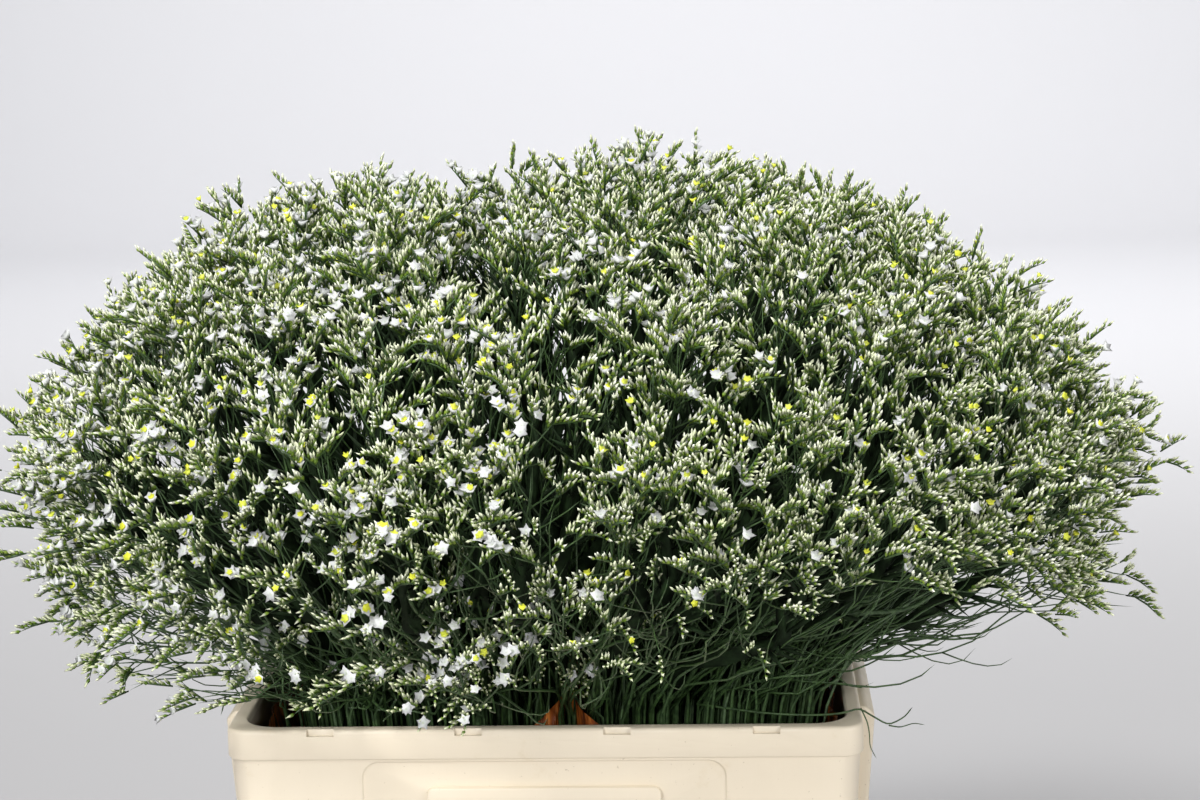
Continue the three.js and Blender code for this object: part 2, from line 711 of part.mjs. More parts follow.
const statice = new THREE.Group();
addMesh(statice, 'bucket', bucketGeometry(), CREAM);
addMesh(statice, 'left_wrap', filmWrap(-1), ORANGE_FILM);
addMesh(statice, 'right_wrap', filmWrap(1), ORANGE_FILM);

const plumes = makePlumes();
reachOut(plumes);
const stems = makeStems(plumes).map(layOutStem);
for (const stem of stems) {
  for (const shoot of stem.shoots) {
    shoot.neighbours = neighboursOf(shoot, stems);
  }
}
const counts = { left: 0, right: 0 };
for (const stem of stems) {
  const side = stem.bunch < 0 ? 'left' : 'right';
  counts[side] += 1;
  const number = String(counts[side]).padStart(2, '0');
  addMesh(statice, `${side}_stem_${number}`, stemGeometry(stem), LEAF_GREEN);
}

export default statice;
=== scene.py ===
"""Two bunches of statice in a rectangular flower bucket, dressed for a studio photograph.

Lengths in the growth rules are millimetres, as in the part's own construction, and become metres
when a mesh is made. +X runs along the bucket's long side, its front faces -Y, and +Z is up.
"""

import math

import bpy
import numpy as np
from mathutils import Matrix, Vector


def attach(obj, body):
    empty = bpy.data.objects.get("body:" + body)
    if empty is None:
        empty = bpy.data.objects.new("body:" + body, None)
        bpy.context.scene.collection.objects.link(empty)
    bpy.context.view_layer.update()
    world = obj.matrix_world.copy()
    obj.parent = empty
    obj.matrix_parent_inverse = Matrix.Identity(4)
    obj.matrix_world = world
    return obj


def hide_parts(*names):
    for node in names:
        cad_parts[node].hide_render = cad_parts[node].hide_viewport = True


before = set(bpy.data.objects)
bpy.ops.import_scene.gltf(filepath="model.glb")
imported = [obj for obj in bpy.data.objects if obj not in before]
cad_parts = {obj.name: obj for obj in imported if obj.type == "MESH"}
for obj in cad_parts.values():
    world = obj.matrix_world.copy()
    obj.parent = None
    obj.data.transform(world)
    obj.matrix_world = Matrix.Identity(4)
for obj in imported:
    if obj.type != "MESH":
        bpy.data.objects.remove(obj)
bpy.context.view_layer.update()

MM = 0.001
RNG = np.random.default_rng(20251)

# Bucket
RIM_LENGTH = 400
RIM_WIDTH = 300
BUCKET_HEIGHT = 350
BASE_LENGTH = 366
BASE_WIDTH = 266
RIM_BAND = 19
RIM_STEP = 1.8
RIM_CORNER = 14
BASE_CORNER = 24
WALL = 3.5
FLOOR = 4
LIP_THICKNESS = 5
MOUTH_LENGTH = 380
MOUTH_WIDTH = 280
MOUTH_CORNER = 22
NOTCH_PITCH = 93
NOTCH_STEPS = (-1.5, -0.5, 0.5, 1.5)
NOTCH_LENGTH = 17
NOTCH_HEIGHT = 4
NOTCH_DEPTH = 3
PANEL_LENGTH = 229
PANEL_TOP = 21
PANEL_HEIGHT = 150
PANEL_CORNER = 11
PANEL_DEPTH = 1.2
LEDGE_LENGTH = 147
LEDGE_TOP = 38
LEDGE_HEIGHT = 14
LEDGE_PROUD = 3
LEDGE_TAB = 5
GRIP_LENGTH = 180
GRIP_HEIGHT = 86
GRIP_PROUD = 10
GRIP_SLOPE = 6
GRIP_DROP = 4

# Film wraps
FILM = 0.4
FILM_FOOT = 5
FILM_CLEARANCE = 10
FILM_CORNER = 26
FILM_OUTER_TOP = 334
FILM_INNER_RISE = 30

# Crown: the surface that the tips of the sprays reach
CROWN_X = 16
CROWN_Z = 510
CROWN_HALF_WIDTH = 374
CROWN_HALF_DEPTH = 312
CROWN_RISE = 199
CROWN_DROP = 350
LOW_EDGE_LEFT = 362
LOW_EDGE_RIGHT = 438
LOW_EDGE_LEFT_FRONT = 404
LOW_EDGE_RIGHT_FRONT = 502
LOW_EDGE_MEAN = 428
VALLEY_X = -42
VALLEY_DEPTH = 24
VALLEY_WIDTH = 50
SHOULDERS = [(190, 390, 30), (-230, -330, 20)]
UP_PULL = 0.8
UP_PULL_LOW = 0.42

# Growth: stems, and the plumes that they end in
STEMS = 42
PLUMES = 206
SPREAD_ROUNDS = 4
GOLDEN_ANGLE = math.pi * (3 - math.sqrt(5))
SEED = 20251
PLUME_STRIDE = 7919
ITEM_STRIDE = 104729
SCATTER = 0.2
LENGTH_SCATTER = 8
LENGTH_MIDDLE = 0.6
TILT_SCATTER = 0.2
# Where the stems pass the mouth and stand on the floor: half length, half width, gap between bunches, z
MOUTH_LEVEL = (163, 122, 24, BUCKET_HEIGHT)
FOOT_LEVEL = (112, 86, 40, FLOOR + 0.5)
SQUARENESS = 3
LEAN_MIDDLE = 0.25
LEAN_EDGE = 1
MOUTH_PULL = 0.36
CROWN_PULL = 0.3
BUNCH_SPLIT = 0.085
LOWEST_FORK = 0.3
HIGHEST_FORK = 0.66
PLUME_LENGTH = 92
PLUME_RADIUS = 46
DEPTH_WEIGHT = 0.7
LONG_SPRAYS = [
    [-26, 706], [20, 705], [102, 709], [203, 681], [252, 657], [288, 651], [-202, 688],
    [-362, 500], [-346, 432], [-324, 376],
    [322, 612], [368, 556], [414, 520], [406, 424],
]

# Fine growth
PLUME_BRANCHES = 7
SPIKELETS = 7
SPIKELET_LENGTH = (6.8, 9.4)
SPIKE_LENGTH = (14, 22.5)
BRANCH_STEPS = [0, 0.35, 0.7, 1]
BARE_STEMS = 3
BARE_JITTER = 0.2
BARE_DEPTHS = (-50, 0)
BARE_TWIGS = 1100
TWIG_LENGTH = (20, 62)
# Curve of a thin twig: how much each place follows the stem and leaves it, in shares of its length
TWIG_FIRST = (0.75, 0.65, 0.4)
TWIG_SECOND = (0.8, 0.85, 0.72)
TWIG_END = 0.28
TWIG_CURL = (-0.8, 0.5)
SHARDS = 26
SHARD_LENGTH = (22, 40)
SHARD_WIDTH = 0.11
SHARD_WAIST = 0.4
# Dark bodies of painted shade stand inside these places in the disc, below and above a height
SHADE_EDGE_LOW = 0.84
SHADE_EDGE_HIGH = 0.97
SHADE_HEIGHT = 520
FRONT_STEMS = 230
FRONT_TWIGS = 240
FRONT_SPIKES = 56
FRONT_RIGHT_SHARE = 0.72
FRONT_LEFT_X = (-150, -24)
FRONT_RIGHT_X = (-24, 177)
FRONT_Y = (-117, -62)
FRONT_HEIGHT = (75, 175)
# Towards the right end of the rim they stand deeper, from an x over a span, and lean out
FRONT_DEEPER = 85
FRONT_DEEPER_FROM = (110, 60)
FRONT_LEAN = 0.75
FRONT_LEAN_X = 160
FRONT_LEAN_SCATTER = 0.2
FRONT_TOWARDS_EDGE = 0.2
FRONT_BEND = 5
FRONT_SPIKE_LENGTH = (11, 17)
FRONT_BLOOM = 0.3
LOWEST_GROWTH = BUCKET_HEIGHT + 4
LIP_START = 118
LIP_SPAN = 24
LIP_ROOM = 18
# Radii of each kind of stem at its root and its end
SIDE_TWIG_RADII = (1.3, 0.4)
COMPANION_RADII = (1.2, 0.35)
HANGING_RADII = (1.1, 0.5)
BARE_RADII = (1.25, 0.5)
BARE_TWIG_RADII = (0.7, 0.3)
FRONT_RADII = (1, 0.45)
FRONT_TWIG_RADII = (0.65, 0.35)
# Points along a main stem and its radii there
TRUNK_RADII = ([0, 2, 12, 15, 18], [2.1, 1.8, 1.3, 0.9, 0.4])
AGE_HEIGHT = 650
COMPANION_JITTER = 0.055
COMPANION_EDGE = 0.86
# Companions of each plume: share of its length, branches, how far below the crown they end, and
# whether their flowers open
COMPANION_SPRAYS = [(0.76, 4, (-24, 0), True), (0.66, 3, (-72, -26), False)]
# Small sprays that hang to the rim at the left front: x and z of their tips
HANGING_SPRAYS = [
    [-168, 372], [-140, 392], [-118, 366], [-96, 388], [-74, 362], [-52, 394], [-34, 360],
    [-14, 382], [4, 364], [22, 390], [-152, 414], [-104, 420], [-60, 424], [-20, 418],
    [-186, 398], [-86, 410], [46, 422], [74, 440],
]
HANGING_Y = -150
HANGING_SCATTER = 14
HANGING_LENGTH = 52
HANGING_RADIUS = 34
HANGING_BRANCHES = 5


def smooth_step(value):
    t = np.clip(value, 0, 1)
    return t * t * (3 - 2 * t)


def step_from(value, start, span):
    """0 at a start and before it, rising smoothly to 1 over a span."""
    return smooth_step((value - start) / span)


def unit(vectors):
    length = np.linalg.norm(vectors, axis=-1, keepdims=True)
    return vectors / np.maximum(length, 1e-9)


def across(vectors, axis):
    """Unit part of each vector that is square to its axis."""
    return unit(vectors - (vectors * axis).sum(-1, keepdims=True) * axis)


def cubic(t, first, second, third, last):
    """Points of a curve that starts at the first place, is pulled by two others and ends at the last."""
    return (
        (1 - t) ** 3 * first + 3 * (1 - t) ** 2 * t * second
        + 3 * (1 - t) * t**2 * third + t**3 * last
    )


def inside_disc(u, v):
    """The same places, those outside the disc moved to its edge."""
    fit = np.minimum(1, 1 / np.hypot(u, v))
    return u * fit, v * fit


def nearest(x, y, to_x, to_y):
    """Index of the place that is nearest to each of the others."""
    return np.hypot(x - to_x[:, None], y - to_y[:, None]).argmin(1)


def scatter(shape):
    return RNG.uniform(-1, 1, shape)


def wander(paths, amplitude):
    """Gentle bends along each path that die out at both of its ends."""
    count, points = paths.shape[:2]
    s = np.linspace(0, 1, points)
    bends = np.zeros(paths.shape)
    for wave in (1, 2, 3):
        phase = RNG.random((count, 1, 3))
        size = amplitude / wave * RNG.uniform(0.3, 1, (count, 1, 3))
        bends += size * np.sin(2 * math.pi * (wave * s[:, None] + phase))
    return paths + bends * (smooth_step(s * 5) * smooth_step((1 - s) * 5))[:, None]


def draw(plume, item):
    """Seeded draw between 0 and 1, the same for the same item of the same plume."""
    mask = 0xFFFFFFFF
    state = (SEED + plume * PLUME_STRIDE + item * ITEM_STRIDE) & mask
    state = ((state ^ (state >> 15)) * (state | 1)) & mask
    state = (state ^ (state + (state ^ (state >> 7)) * (state | 61))) & mask
    return (state ^ (state >> 14)) / 4294967296


# Crown and growth


def lowest_angle(azimuth):
    rightwards = smooth_step(np.cos(azimuth) + 0.5)
    front = LOW_EDGE_LEFT_FRONT + (LOW_EDGE_RIGHT_FRONT - LOW_EDGE_LEFT_FRONT) * rightwards
    side = np.where(np.cos(azimuth) < 0, LOW_EDGE_LEFT, LOW_EDGE_RIGHT)
    edge = front + (side - front) * np.cos(azimuth) ** 2
    return math.pi / 2 + np.arcsin((CROWN_Z - edge) / CROWN_DROP)


ANGLE_STEPS = 240
MEAN_LOWEST = math.pi / 2 + math.asin((CROWN_Z - LOW_EDGE_MEAN) / CROWN_DROP)


def surface_table():
    """Surface of the crown from its top down to each of the angle steps."""
    angle = (np.arange(ANGLE_STEPS) + 0.5) / ANGLE_STEPS * MEAN_LOWEST
    radius = (CROWN_HALF_WIDTH + CROWN_HALF_DEPTH) / 2
    fall = np.where(angle < math.pi / 2, CROWN_RISE, CROWN_DROP) * np.sin(angle)
    band = radius * np.sin(angle) * np.hypot(radius * np.cos(angle), fall)
    return np.concatenate([[0], np.cumsum(band)])


SURFACE_UP_TO = surface_table()


def crown_tip(u, v):
    """Place and direction of a spray's tip, for its place in the disc that stands for the crown."""
    rho = np.hypot(u, v)
    azimuth = np.arctan2(v, u)
    stretch = 1 + (lowest_angle(azimuth) / MEAN_LOWEST - 1) * rho**4
    steps = np.linspace(0, MEAN_LOWEST, ANGLE_STEPS + 1)
    angle = np.interp(rho * rho * SURFACE_UP_TO[-1], SURFACE_UP_TO, steps) * stretch
    height = np.where(angle < math.pi / 2, CROWN_RISE, CROWN_DROP)
    out = np.sin(angle)
    x = CROWN_HALF_WIDTH * out * np.cos(azimuth)
    y = CROWN_HALF_DEPTH * out * np.sin(azimuth)
    z = height * np.cos(angle)
    outward = unit(np.stack([x / CROWN_HALF_WIDTH**2, y / CROWN_HALF_DEPTH**2, z / height**2], -1))
    low = step_from(angle, math.pi / 2, math.pi / 6)
    outward[..., 2] += UP_PULL + (UP_PULL_LOW - UP_PULL) * low
    tip = np.stack([x + CROWN_X, y, z + CROWN_Z], -1)
    upper = smooth_step(z / CROWN_RISE)
    valley = VALLEY_DEPTH * np.exp(-(((tip[..., 0] - VALLEY_X) / VALLEY_WIDTH) ** 2))
    tip[..., 2] -= valley * upper
    for start, end, drop in SHOULDERS:
        tip[..., 2] -= drop * smooth_step((tip[..., 0] - start) / (end - start)) * upper
    return tip, unit(outward)


def level_point(u, v, bunch, level):
    """Stem place in the bucket's mouth or on its floor, each bunch moved away from the other."""
    reach_x, reach_y, gap, z = level
    azimuth = np.arctan2(v, u)
    total = np.abs(np.cos(azimuth)) ** SQUARENESS + np.abs(np.sin(azimuth)) ** SQUARENESS
    square = total ** (-1 / SQUARENESS)
    flat = np.full_like(u, z, dtype=float)
    return np.stack([u * square * reach_x + bunch * gap / 2, v * square * reach_y, flat], -1)


def growth_point(u, v, bunch, height, base, direction):
    """Path of growth: height -1 is the foot, 0 the bucket's mouth, 1 the base of the plume."""
    foot, mouth = (level_point(u, v, bunch, level) for level in (FOOT_LEVEL, MOUTH_LEVEL))
    span = np.linalg.norm(base - mouth, axis=-1, keepdims=True)
    lean_share = (LEAN_MIDDLE + (LEAN_EDGE - LEAN_MIDDLE) * np.hypot(u, v))[..., None]
    lean = np.concatenate([np.stack([u, v], -1) * lean_share, np.ones_like(u)[..., None]], -1)
    first = mouth + unit(lean) * span * MOUTH_PULL
    second = base - direction * span * CROWN_PULL
    above = cubic(np.maximum(height, 0)[..., None], mouth, first, second, base)
    below = mouth + (foot - mouth) * np.maximum(-height, 0)[..., None]
    return np.where(height[..., None] <= 0, below, above)


def plume_ends(u, v, extra, tilt, length=PLUME_LENGTH):
    tip, direction = crown_tip(u, v)
    tip = tip + direction * np.asarray(extra)[..., None]
    direction = unit(direction + tilt)
    return tip, tip - direction * length, direction


def make_plumes():
    """Plumes on an even spiral over the disc, with a little scatter."""
    i = np.arange(PLUMES)
    spacing = SCATTER / math.sqrt(PLUMES)
    rho = np.sqrt((i + 0.5) / PLUMES)
    u = rho * np.cos(i * GOLDEN_ANGLE) + (draw(i, 0) - 0.5) * 2 * spacing
    v = rho * np.sin(i * GOLDEN_ANGLE) + (draw(i, 1) - 0.5) * 2 * spacing
    u, v = inside_disc(u, v)
    extra = (draw(i, 2) - LENGTH_MIDDLE) * 2 * LENGTH_SCATTER
    tilt = np.stack([draw(i, 4) - 0.5, draw(i, 5) - 0.5, 0 * u], -1) * 2 * TILT_SCATTER
    tip, base, direction = plume_ends(u, v, extra, tilt)
    reach_out(tip, base, direction)
    return {"u": u, "v": v, "tip": tip, "base": base, "direction": direction}


def reach_out(tip, base, direction):
    """Moves the plume that is nearest to each long spray's tip out to that tip."""
    taken = np.zeros(len(tip), bool)
    for x, z in LONG_SPRAYS:
        gaps = np.stack([tip[:, 0] - x, tip[:, 1] * DEPTH_WEIGHT, tip[:, 2] - z], -1)
        distance = np.linalg.norm(gaps, axis=-1)
        distance[taken] = np.inf
        nearest = int(np.argmin(distance))
        taken[nearest] = True
        tip[nearest, 0], tip[nearest, 2] = x, z
        base[nearest] = tip[nearest] - direction[nearest] * PLUME_LENGTH


def group_stems(plumes):
    """Stems as the middles of neighbouring plumes. Returns their places and each plume's stem."""
    i = np.arange(STEMS)
    rho = np.sqrt((i + 0.5) / STEMS)
    middles = np.stack([rho * np.cos(i * GOLDEN_ANGLE + 1), rho * np.sin(i * GOLDEN_ANGLE + 1)], -1)
    places = np.stack([plumes["u"], plumes["v"]], -1)
    for _ in range(SPREAD_ROUNDS):
        stem_of = np.linalg.norm(places[:, None] - middles[None], axis=-1).argmin(1)
        middles = np.array([places[stem_of == stem].mean(0) for stem in range(STEMS)])
    return middles, stem_of


def on_the_way(own, plume, share, bunch, height):
    """Point between a stem's own path and a plume's path. Both hold u, v, base and direction."""
    s = share[..., None]
    u = own["u"] + (plume["u"] - own["u"]) * share
    v = own["v"] + (plume["v"] - own["v"]) * share
    base = own["base"] + (plume["base"] - own["base"]) * s
    direction = unit(own["direction"] + (plume["direction"] - own["direction"]) * s)
    return growth_point(u, v, bunch, height, base, direction)


# Meshes in batches: every member of a batch has the same count of points and the same faces


class Batch:
    def __init__(self, points, faces, owner, age, tone, material=0):
        count, size = points.shape[:2]
        self.points = points
        self.faces = np.array(faces)
        self.owner = owner
        self.marks = {
            "age": np.broadcast_to(age, (count, size)),
            "tone": np.broadcast_to(tone[:, None], (count, size)),
        }
        self.material = material


def tube_faces(rings, sides, pointed):
    """Triangles of a tube of rings, closed by a fan at its root and by a fan or a point at its end."""
    faces = [(0, i, i - 1) for i in range(2, sides)]
    for ring in range(rings - 1):
        for i in range(sides):
            a, b = ring * sides + i, ring * sides + (i + 1) % sides
            faces += [(a, b, b + sides), (a, b + sides, a + sides)]
    last = (rings - 1) * sides
    if pointed:
        faces += [(last + i, last + (i + 1) % sides, last + sides) for i in range(sides)]
    else:
        faces += [(last, last + i - 1, last + i) for i in range(2, sides)]
    return faces


def tube_batch(paths, radii, sides, owner, pointed=True, corners=1.0, twist=0.0, material=0):
    """Stems along paths of (count, points, 3). A pointed one ends in the last point of its path."""
    count, steps = paths.shape[:2]
    rings = steps - 1 if pointed else steps
    ahead = np.concatenate([paths[:, 1:], paths[:, -1:]], 1)
    behind = np.concatenate([paths[:, :1], paths[:, :-1]], 1)
    tangent = unit(ahead - behind)
    normal = across(np.broadcast_to([0.3, 0.9, 0.2], (count, 3)), tangent[:, 0])
    points = np.zeros((count, rings, sides, 3))
    angles = np.arange(sides) / sides * 2 * math.pi
    radii = np.broadcast_to(radii, (count, steps))
    for ring in range(rings):
        normal = across(normal, tangent[:, ring])
        side = np.cross(tangent[:, ring], normal)
        turned = angles + twist * ring
        around = normal[:, None] * np.cos(turned)[:, None] + side[:, None] * np.sin(turned)[:, None]
        reach = radii[:, ring, None, None] * np.broadcast_to(corners, sides)[:, None]
        points[:, ring] = paths[:, ring, None] + around * reach
    points = points.reshape(count, -1, 3)
    age = np.repeat(np.clip(paths[:, :rings, 2] / AGE_HEIGHT, 0, 1), sides, axis=1)
    if pointed:
        points = np.concatenate([points, paths[:, -1:]], 1)
        age = np.concatenate([age, age[:, -1:]], 1)
    return Batch(points, tube_faces(rings, sides, pointed), owner, age, RNG.random(count), material)


def finger_batch(root, direction, length, width, rings, owner, tone, squash=1, twist=1, material=0):
    """Closed buds and blades: a root, rings of three at a share of length and width, and a tip."""
    normal = across(scatter(direction.shape), direction)
    side = np.cross(direction, normal)
    points, age = [root], [0]
    for place, share in rings:
        centre = root + direction * (length * place)[:, None]
        for corner in range(3):
            angle = 2 * math.pi * (corner + twist * place) / 3
            around = normal * math.cos(angle) + side * math.sin(angle) * squash
            points.append(centre + around * (width / 2 * share)[:, None])
            age.append(place)
    points.append(root + direction * length[:, None])
    last = 3 * len(rings) + 1
    faces = []
    for corner in range(3):
        a, b = 1 + corner, 1 + (corner + 1) % 3
        faces.append((0, b, a))
        for ring in range(0, last - 4, 3):
            faces += [(a + ring, b + ring, b + ring + 3), (a + ring, b + ring + 3, a + ring + 3)]
        faces.append((last, a + last - 4, b + last - 4))
    return Batch(np.stack(points, 1), faces, owner, age + [1], tone, material)


# Open flowers: depth of the throat and of the dips between the points
STAR_THROAT = 0.62
STAR_DIP = 0.86


def star_batch(root, direction, depth, radius, inner, owner, material):
    """Open flowers: a five-pointed funnel, closed behind by a cone down to its root."""
    count = len(root)
    normal = across(scatter(direction.shape), direction)
    side = np.cross(direction, normal)
    points = np.zeros((count, 12, 3))
    points[:, 0] = root
    points[:, 11] = root + direction * (depth * STAR_THROAT)[:, None]
    for i in range(10):
        angle = i * math.pi / 5
        reach = radius * (1 if i % 2 == 0 else inner) * RNG.uniform(0.85, 1.1, count)
        lift = depth * (1 if i % 2 == 0 else STAR_DIP) + 0.5 * scatter(count)
        around = normal * math.cos(angle) + side * math.sin(angle)
        points[:, 1 + i] = root + direction * lift[:, None] + around * reach[:, None]
    faces = []
    for i in range(10):
        a, b = 1 + i, 1 + (i + 1) % 10
        faces += [(11, a, b), (0, b, a)]
    return Batch(points, faces, owner, [0] + [1, 0.75] * 5 + [0.3], RNG.random(count), material)


def object_from(name, batches, owner, materials):
    """One mesh object of the members of all batches that belong to an owner."""
    points, faces, slots = [], [], []
    marks = {"age": [], "tone": []}
    start = 0
    for batch in batches:
        mine = batch.owner == owner
        count = int(mine.sum())
        if count == 0:
            continue
        size = batch.points.shape[1]
        offsets = start + np.arange(count) * size
        faces.append((batch.faces[None] + offsets[:, None, None]).reshape(-1, 3))
        points.append(batch.points[mine].reshape(-1, 3))
        slots.append(np.full(len(faces[-1]), batch.material))
        for key, parts in marks.items():
            parts.append(batch.marks[key][mine].ravel())
        start += count * size
    merged = {key: np.concatenate(parts) for key, parts in marks.items()}
    return mesh_object(name, np.concatenate(points), np.concatenate(faces), materials,
                       merged, np.concatenate(slots))


def link(name, data):
    obj = bpy.data.objects.new(name, data)
    bpy.context.scene.collection.objects.link(obj)
    return obj


def mesh_object(name, points, faces, materials, marks=None, slots=None):
    mesh = bpy.data.meshes.new(name)
    mesh.vertices.add(len(points))
    mesh.vertices.foreach_set("co", (points * MM).astype(np.float32).ravel())
    mesh.loops.add(faces.size)
    mesh.loops.foreach_set("vertex_index", faces.astype(np.int32).ravel())
    mesh.polygons.add(len(faces))
    mesh.polygons.foreach_set("loop_start", np.arange(0, faces.size, faces.shape[1], dtype=np.int32))
    mesh.polygons.foreach_set("use_smooth", np.ones(len(faces), bool))
    for material in materials:
        mesh.materials.append(material)
    if slots is not None:
        mesh.polygons.foreach_set("material_index", slots.astype(np.int32))
    for key, values in (marks or {}).items():
        layer = mesh.attributes.new(key, "FLOAT", "POINT")
        layer.data.foreach_set("value", values.astype(np.float32))
    mesh.update(calc_edges=True)
    mesh.validate()
    return link(name, mesh)


# Materials


class Look:
    """A material in the making. A constant is set on the shader's own socket."""

    def __init__(self, name, constants):
        self.material = bpy.data.materials.new(name)
        self.material.use_nodes = True
        self.tree = self.material.node_tree
        self.shader = self.tree.nodes["Principled BSDF"]
        for key, value in constants.items():
            self.shader.inputs[key].default_value = value

    def node(self, kind, inputs, **settings):
        """A new node, each of whose inputs is an output of another or a constant."""
        node = self.tree.nodes.new("ShaderNode" + kind)
        for key, value in settings.items():
            setattr(node, key, value)
        for key, value in inputs.items():
            slot = next(s for s in node.inputs if s.name == key and s.enabled)
            if isinstance(value, bpy.types.NodeSocket):
                self.tree.links.new(value, slot)
            else:
                slot.default_value = value
        return node

    def place(self):
        return self.node("TexCoord", {}).outputs["Object"]

    def mark(self, name):
        """A value that the mesh carries at each point."""
        return self.node("Attribute", {}, attribute_name=name).outputs["Fac"]

    def noise(self, scale, detail=3, roughness=0.55, stretch=(1, 1, 1)):
        place = self.node("Mapping", {"Scale": stretch, "Vector": self.place()}).outputs["Vector"]
        inputs = {"Scale": scale, "Detail": detail, "Roughness": roughness, "Vector": place}
        return self.node("TexNoise", inputs).outputs["Fac"]

    def ramp(self, value, stops):
        """Colours along a value, from stops of place and colour."""
        node = self.node("ValToRGB", {"Fac": value})
        elements = node.color_ramp.elements
        while len(elements) < len(stops):
            elements.new(0.5)
        for element, (place, colour) in zip(elements, stops):
            element.position = place
            element.color = (*colour, 1)
        return node.outputs["Color"]

    def rise(self, value, low, high, out_low=0.0, out_high=1.0):
        """A smooth step from one value to another."""
        inputs = {"From Min": low, "From Max": high, "To Min": out_low, "To Max": out_high, "Value": value}
        return self.node("MapRange", inputs, interpolation_type="SMOOTHSTEP").outputs["Result"]

    def mix(self, factor, *colours):
        """Colour between two, each of which is an output or a constant."""
        first, second = ((*c, 1) if isinstance(c, tuple) else c for c in colours)
        node = self.node("Mix", {"Factor": factor, "A": first, "B": second}, data_type="RGBA")
        return next(s for s in node.outputs if s.enabled)

    def finish(self, colour, height=None, strength=0, distance=0):
        """Puts on the colour and the bumps, and returns the material."""
        self.tree.links.new(colour, self.shader.inputs["Base Color"])
        if height is not None:
            bump = self.node("Bump", {"Height": height, "Strength": strength, "Distance": distance})
            self.tree.links.new(bump.outputs["Normal"], self.shader.inputs["Normal"])
        return self.material


def stem_material():
    """Wiry stems: dark green below, fresher above, with a faint bloom and streaks."""
    look = Look("statice_stem", {"Roughness": 0.5})
    young = look.ramp(look.mark("age"), [(0, (0.04, 0.075, 0.024)), (0.5, (0.048, 0.098, 0.026)),
                                         (1, (0.06, 0.125, 0.024))])
    bloom = look.mix(look.rise(look.mark("tone"), 0, 1, 0, 0.7), young, (0.075, 0.125, 0.055))
    mottled = look.mix(look.rise(look.noise(260), 0.35, 0.7), bloom, (0.02, 0.045, 0.014))
    return look.finish(mottled, look.noise(900), 0.25, 0.0004)


def shade_material():
    """Painted shade deep inside the bunches: nearly black green, streaked, on dark bodies that stand for the
    shade between the stems.
    """
    look = Look("statice_shade", {"Roughness": 0.8, "Specular IOR Level": 0.15})
    # painted shade: both colours are nearly black, for the shade deep inside the bunches
    streaks = look.rise(look.noise(90, 4), 0.4, 0.75)
    base = look.mix(streaks, (0.006, 0.013, 0.004), (0.02, 0.042, 0.014))
    return look.finish(base, look.noise(500), 0.4, 0.0006)


def bud_material():
    """Closed spikelets: green bract below, white papery point above."""
    look = Look("statice_bud", {"Roughness": 0.55})
    tone = look.mark("tone")
    green = look.ramp(tone, [(0, (0.08, 0.16, 0.012)), (0.6, (0.17, 0.27, 0.022)), (1, (0.3, 0.4, 0.05))])
    white = look.ramp(tone, [(0, (0.58, 0.62, 0.36)), (0.5, (0.72, 0.75, 0.54)), (1, (0.84, 0.85, 0.74))])
    mixed = look.mix(look.rise(look.mark("age"), 0.38, 0.6), green, white)
    mottled = look.mix(look.rise(look.noise(420), 0.5, 0.8, 0, 0.35), mixed, (0.16, 0.24, 0.06))
    return look.finish(mottled, look.noise(1400), 0.2, 0.0003)


def calyx_material():
    """Open calyx: white, thin and pleated, with painted shade darker at the dips between its points, and
    darker down into its throat, which is partly its own green and partly painted shade.
    """
    look = Look("statice_calyx", {"Roughness": 0.6})
    # painted shade: the dips and the throat carry lower ages, so they come out darker than the points
    body = look.ramp(look.mark("age"), [(0, (0.14, 0.22, 0.06)), (0.25, (0.32, 0.38, 0.24)),
                                        (0.5, (0.54, 0.56, 0.54)), (1, (0.64, 0.64, 0.66))])
    toned = look.mix(look.rise(look.mark("tone"), 0, 1, 0.25, 0), body, (0.62, 0.63, 0.58))
    return look.finish(toned, look.noise(900), 0.4, 0.0004)


def corolla_material():
    """Small yellow flower that stands in some of the open calyces."""
    look = Look("statice_corolla", {"Roughness": 0.5})
    body = look.ramp(look.mark("age"), [(0, (0.3, 0.38, 0.02)), (0.4, (0.58, 0.6, 0.02)),
                                        (1, (0.7, 0.74, 0.05))])
    toned = look.mix(look.rise(look.mark("tone"), 0, 1, 0.5, 0), body, (0.52, 0.62, 0.09))
    return look.finish(toned, look.noise(900), 0.3, 0.0003)


def cream_material():
    """Moulded cream plastic, a little scuffed and dusty, with faint upright draw lines."""
    look = Look("cream_plastic", {"Roughness": 0.42})
    clouds = look.rise(look.noise(7, 5), 0.35, 0.75, 0, 0.55)
    base = look.mix(clouds, (0.76, 0.67, 0.53), (0.71, 0.615, 0.47))
    stains = look.rise(look.noise(26, 6, 0.7), 0.6, 0.78, 0, 0.35)
    stained = look.mix(stains, base, (0.58, 0.45, 0.26))
    specks = look.rise(look.noise(420, 2), 0.7, 0.76, 0, 0.5)
    speckled = look.mix(specks, stained, (0.42, 0.34, 0.23))
    scuffs = look.rise(look.noise(60, 4), 0.3, 0.7, 0.36, 0.55)
    look.tree.links.new(scuffs, look.shader.inputs["Roughness"])
    return look.finish(speckled, look.noise(1, 2, 0.6, (260, 260, 5)), 0.12, 0.0005)


def film_material():
    """Thin orange-brown film, crumpled and slightly see-through, with painted shade: near black in the low
    streaks of its crumple.
    """
    look = Look("orange_film", {"Roughness": 0.28, "Transmission Weight": 0.25, "IOR": 1.3})
    streaks = look.noise(1, 4, 0.6, (190, 190, 14))
    # painted shade: the colour sinks to near black where the crumple's bumps are lowest
    body = look.ramp(streaks, [(0.36, (0.03, 0.01, 0.004)), (0.5, (0.26, 0.06, 0.01)),
                               (0.66, (0.66, 0.22, 0.04))])
    return look.finish(body, streaks, 0.7, 0.002)


